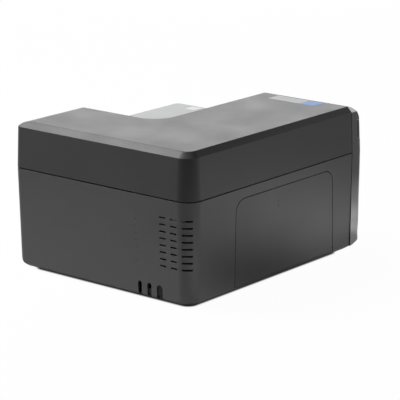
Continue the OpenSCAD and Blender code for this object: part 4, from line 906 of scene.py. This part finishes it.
def floor_glow_painted_light_and_shade(stage, place, outside, studio):
    """How bright reflections find the floor's glow, into which painted light and painted shade are laid"""
    # Painted shade: dimmer on the camera's side and near the printer
    ahead = stage.fade(stage.along(place, NEAR_SIDE), 0.25, 0.7, 1.0, studio.camera_side)
    around = stage.fade(outside, 0.3, 0.5, 1.0, 0.45)
    # Painted light: brighter on the door's side, most of all beside the front panel's foot
    beside = stage.product(
        stage.fade(stage.along(place, (-1, 0, 0)), 0.2, 0.28, 0.0, 1.0),
        stage.fade(stage.along(place, Y_AXIS), -0.42, -0.3, 0.0, 1.0),
        stage.fade(outside, 0.28, 0.4, 1.2, 0.0))
    # Painted light: much brighter in front of the front panel, near its foot
    foot = stage.product(
        stage.fade(stage.along(place, (0, -1, 0)), 0.23, 0.28, 0.0, 1.0),
        stage.fade(outside, 0.04, 0.2, 1.0, 0.0))
    # Painted shade: a soft dark patch, and the dark line under the foot's bevel, which stands a little
    # outside the pan
    from_painted_shade_spot = stage.length(stage.math("SUBTRACT", stage.along(place, X_AXIS), SHADE_SPOT[0]),
                             stage.math("SUBTRACT", stage.along(place, Y_AXIS), SHADE_SPOT[1]))
    return stage.product(
        ahead, around, stage.math("ADD", beside, 1.0), stage.math("MULTIPLY_ADD", foot, 2.3, 1.0),
        stage.fade(from_painted_shade_spot, 0.03, 0.2, 0.1, 1.0), stage.fade(outside, 4 * MM, 7 * MM, 0.0, 1.0))


def pale_floor(studio):
    """Floor that shows nearly white, keeps a faint shadow, and has a painted shadow under the printer and in
    a narrow band round its foot
    """
    half = FLOOR_SIZE / 2
    corners = [(-half, -half, 0), (half, -half, 0), (half, half, 0), (-half, half, 0)]
    mesh = bpy.data.meshes.new("studio_floor")
    mesh.from_pydata(corners, [], [(0, 1, 2, 3)])
    floor = bpy.data.objects.new("studio_floor", mesh)
    bpy.context.scene.collection.objects.link(floor)
    material = bpy.data.materials.new("floor_paper")
    material.use_nodes = True
    mesh.materials.append(material)
    stage = StageNodes(material.node_tree)
    paper = stage.tree.nodes["Principled BSDF"]
    stage.feed(paper, "Base Color", (0.86, 0.86, 0.86, 1))
    stage.feed(paper, "Roughness", 0.9)
    stage.feed(paper, "Specular IOR Level", 0.1)
    place = stage.add("NewGeometry").outputs["Position"]
    outside = outside_foot(stage, place)
    # Painted shadow: the glow that the camera sees fades to dark in a narrow band round the base's foot and
    # under it
    shown = stage.white("Emission", stage.fade(outside, -3 * MM, 3.5 * MM, 0.02, 1.0))
    reflected_painted_glow = stage.white("Emission", floor_glow_painted_light_and_shade(stage, place, outside, studio))
    seen = stage.product(stage.rays("Is Camera Ray"), FLOOR_WHITENESS)
    surface = stage.mix(seen, paper.outputs[0], shown)
    surface = stage.mix(stage.rays("Is Glossy Ray", "Is Transmission Ray"), surface, reflected_painted_glow)
    stage.feed(stage.tree.nodes["Material Output"], "Surface", surface)


def aimed_camera(studio):
    """Camera at the photograph's view"""
    data = bpy.data.cameras.new("photo_camera")
    data.lens = studio.lens
    data.clip_start = 0.05
    data.clip_end = 60
    camera = bpy.data.objects.new("photo_camera", data)
    level = math.cos(studio.elevation)
    ahead = Vector((-math.sin(studio.azimuth) * level, math.cos(studio.azimuth) * level,
                    -math.sin(studio.elevation)))
    camera.location = Vector(studio.aim) - ahead * studio.distance
    camera.rotation_mode = "QUATERNION"
    camera.rotation_quaternion = ahead.to_track_quat("-Z", "Y") @ Quaternion((0, 0, 1), studio.roll)
    bpy.context.scene.collection.objects.link(camera)
    bpy.context.scene.camera = camera


class CARDPRINTER_OT_studio(bpy.types.Operator):
    """Make the camera, the softboxes, the white surroundings and the floor"""

    bl_idname = "card_printer.studio"
    bl_label = "Studio"

    def execute(self, context):
        studio = context.scene.printer_studio
        aim = studio.aim
        aimed_camera(studio)
        white_world(studio)
        pale_floor(studio)
        softbox("key_box", place=(1.1, 0.54, 1.6), size=(1.0, 1.0), power=studio.key_power, aim=aim)
        softbox("nose_box", place=(-0.66, -2.0, 1.5), size=(0.45, 0.3), power=studio.nose_power,
                aim=PANEL_EDGE)
        softbox("rim_box", place=(1.86, -2.22, 0.95), size=(2.6, 1.2), power=studio.rim_power, aim=aim)
        softbox("rear_wall_box", place=(2.4, 1.6, 0.9), size=(1.5, 1.5), power=studio.rear_power, aim=aim)
        softbox("door_box", place=(-1.7, -2.3, 0.9), size=(1.5, 1.5), power=studio.door_power, aim=aim)
        context.scene.view_settings.view_transform = "Standard"
        return {"FINISHED"}


class CARDPRINTER_PT_panel(bpy.types.Panel):
    """Steps of the printer's looks"""

    bl_idname = "CARDPRINTER_PT_panel"
    bl_label = "Card Printer"
    bl_space_type = "VIEW_3D"
    bl_region_type = "UI"
    bl_category = "Card Printer"

    def draw(self, context):
        for step in STEPS:
            self.layout.operator(step.bl_idname)
        for setting in GROUPS:
            group = getattr(context.scene, setting)
            box = self.layout.box()
            for name in group.__annotations__:
                box.prop(group, name)


STEPS = (CARDPRINTER_OT_studio, CARDPRINTER_OT_casing, CARDPRINTER_OT_panel, CARDPRINTER_OT_mechanism,
         CARDPRINTER_OT_screws, CARDPRINTER_OT_belt_teeth, CARDPRINTER_OT_board_parts)
GROUPS = {"printer_finishes": PrinterFinishes, "printer_trim": PrinterTrim, "printer_studio": PrinterStudio}


def register():
    for kind in (*GROUPS.values(), *STEPS, CARDPRINTER_PT_panel):
        bpy.utils.register_class(kind)
    for name, group in GROUPS.items():
        setattr(bpy.types.Scene, name, bpy.props.PointerProperty(type=group))


def unregister():
    for name in GROUPS:
        delattr(bpy.types.Scene, name)
    for kind in (CARDPRINTER_PT_panel, *reversed(STEPS), *GROUPS.values()):
        bpy.utils.unregister_class(kind)


def main():
    register()
    bpy.ops.card_printer.studio()
    bpy.ops.card_printer.casing()
    bpy.ops.card_printer.panel()
    bpy.ops.card_printer.mechanism()
    bpy.ops.card_printer.screws()
    bpy.ops.card_printer.belt_teeth()
    bpy.ops.card_printer.board_parts()


if __name__ == "__main__":
    main()
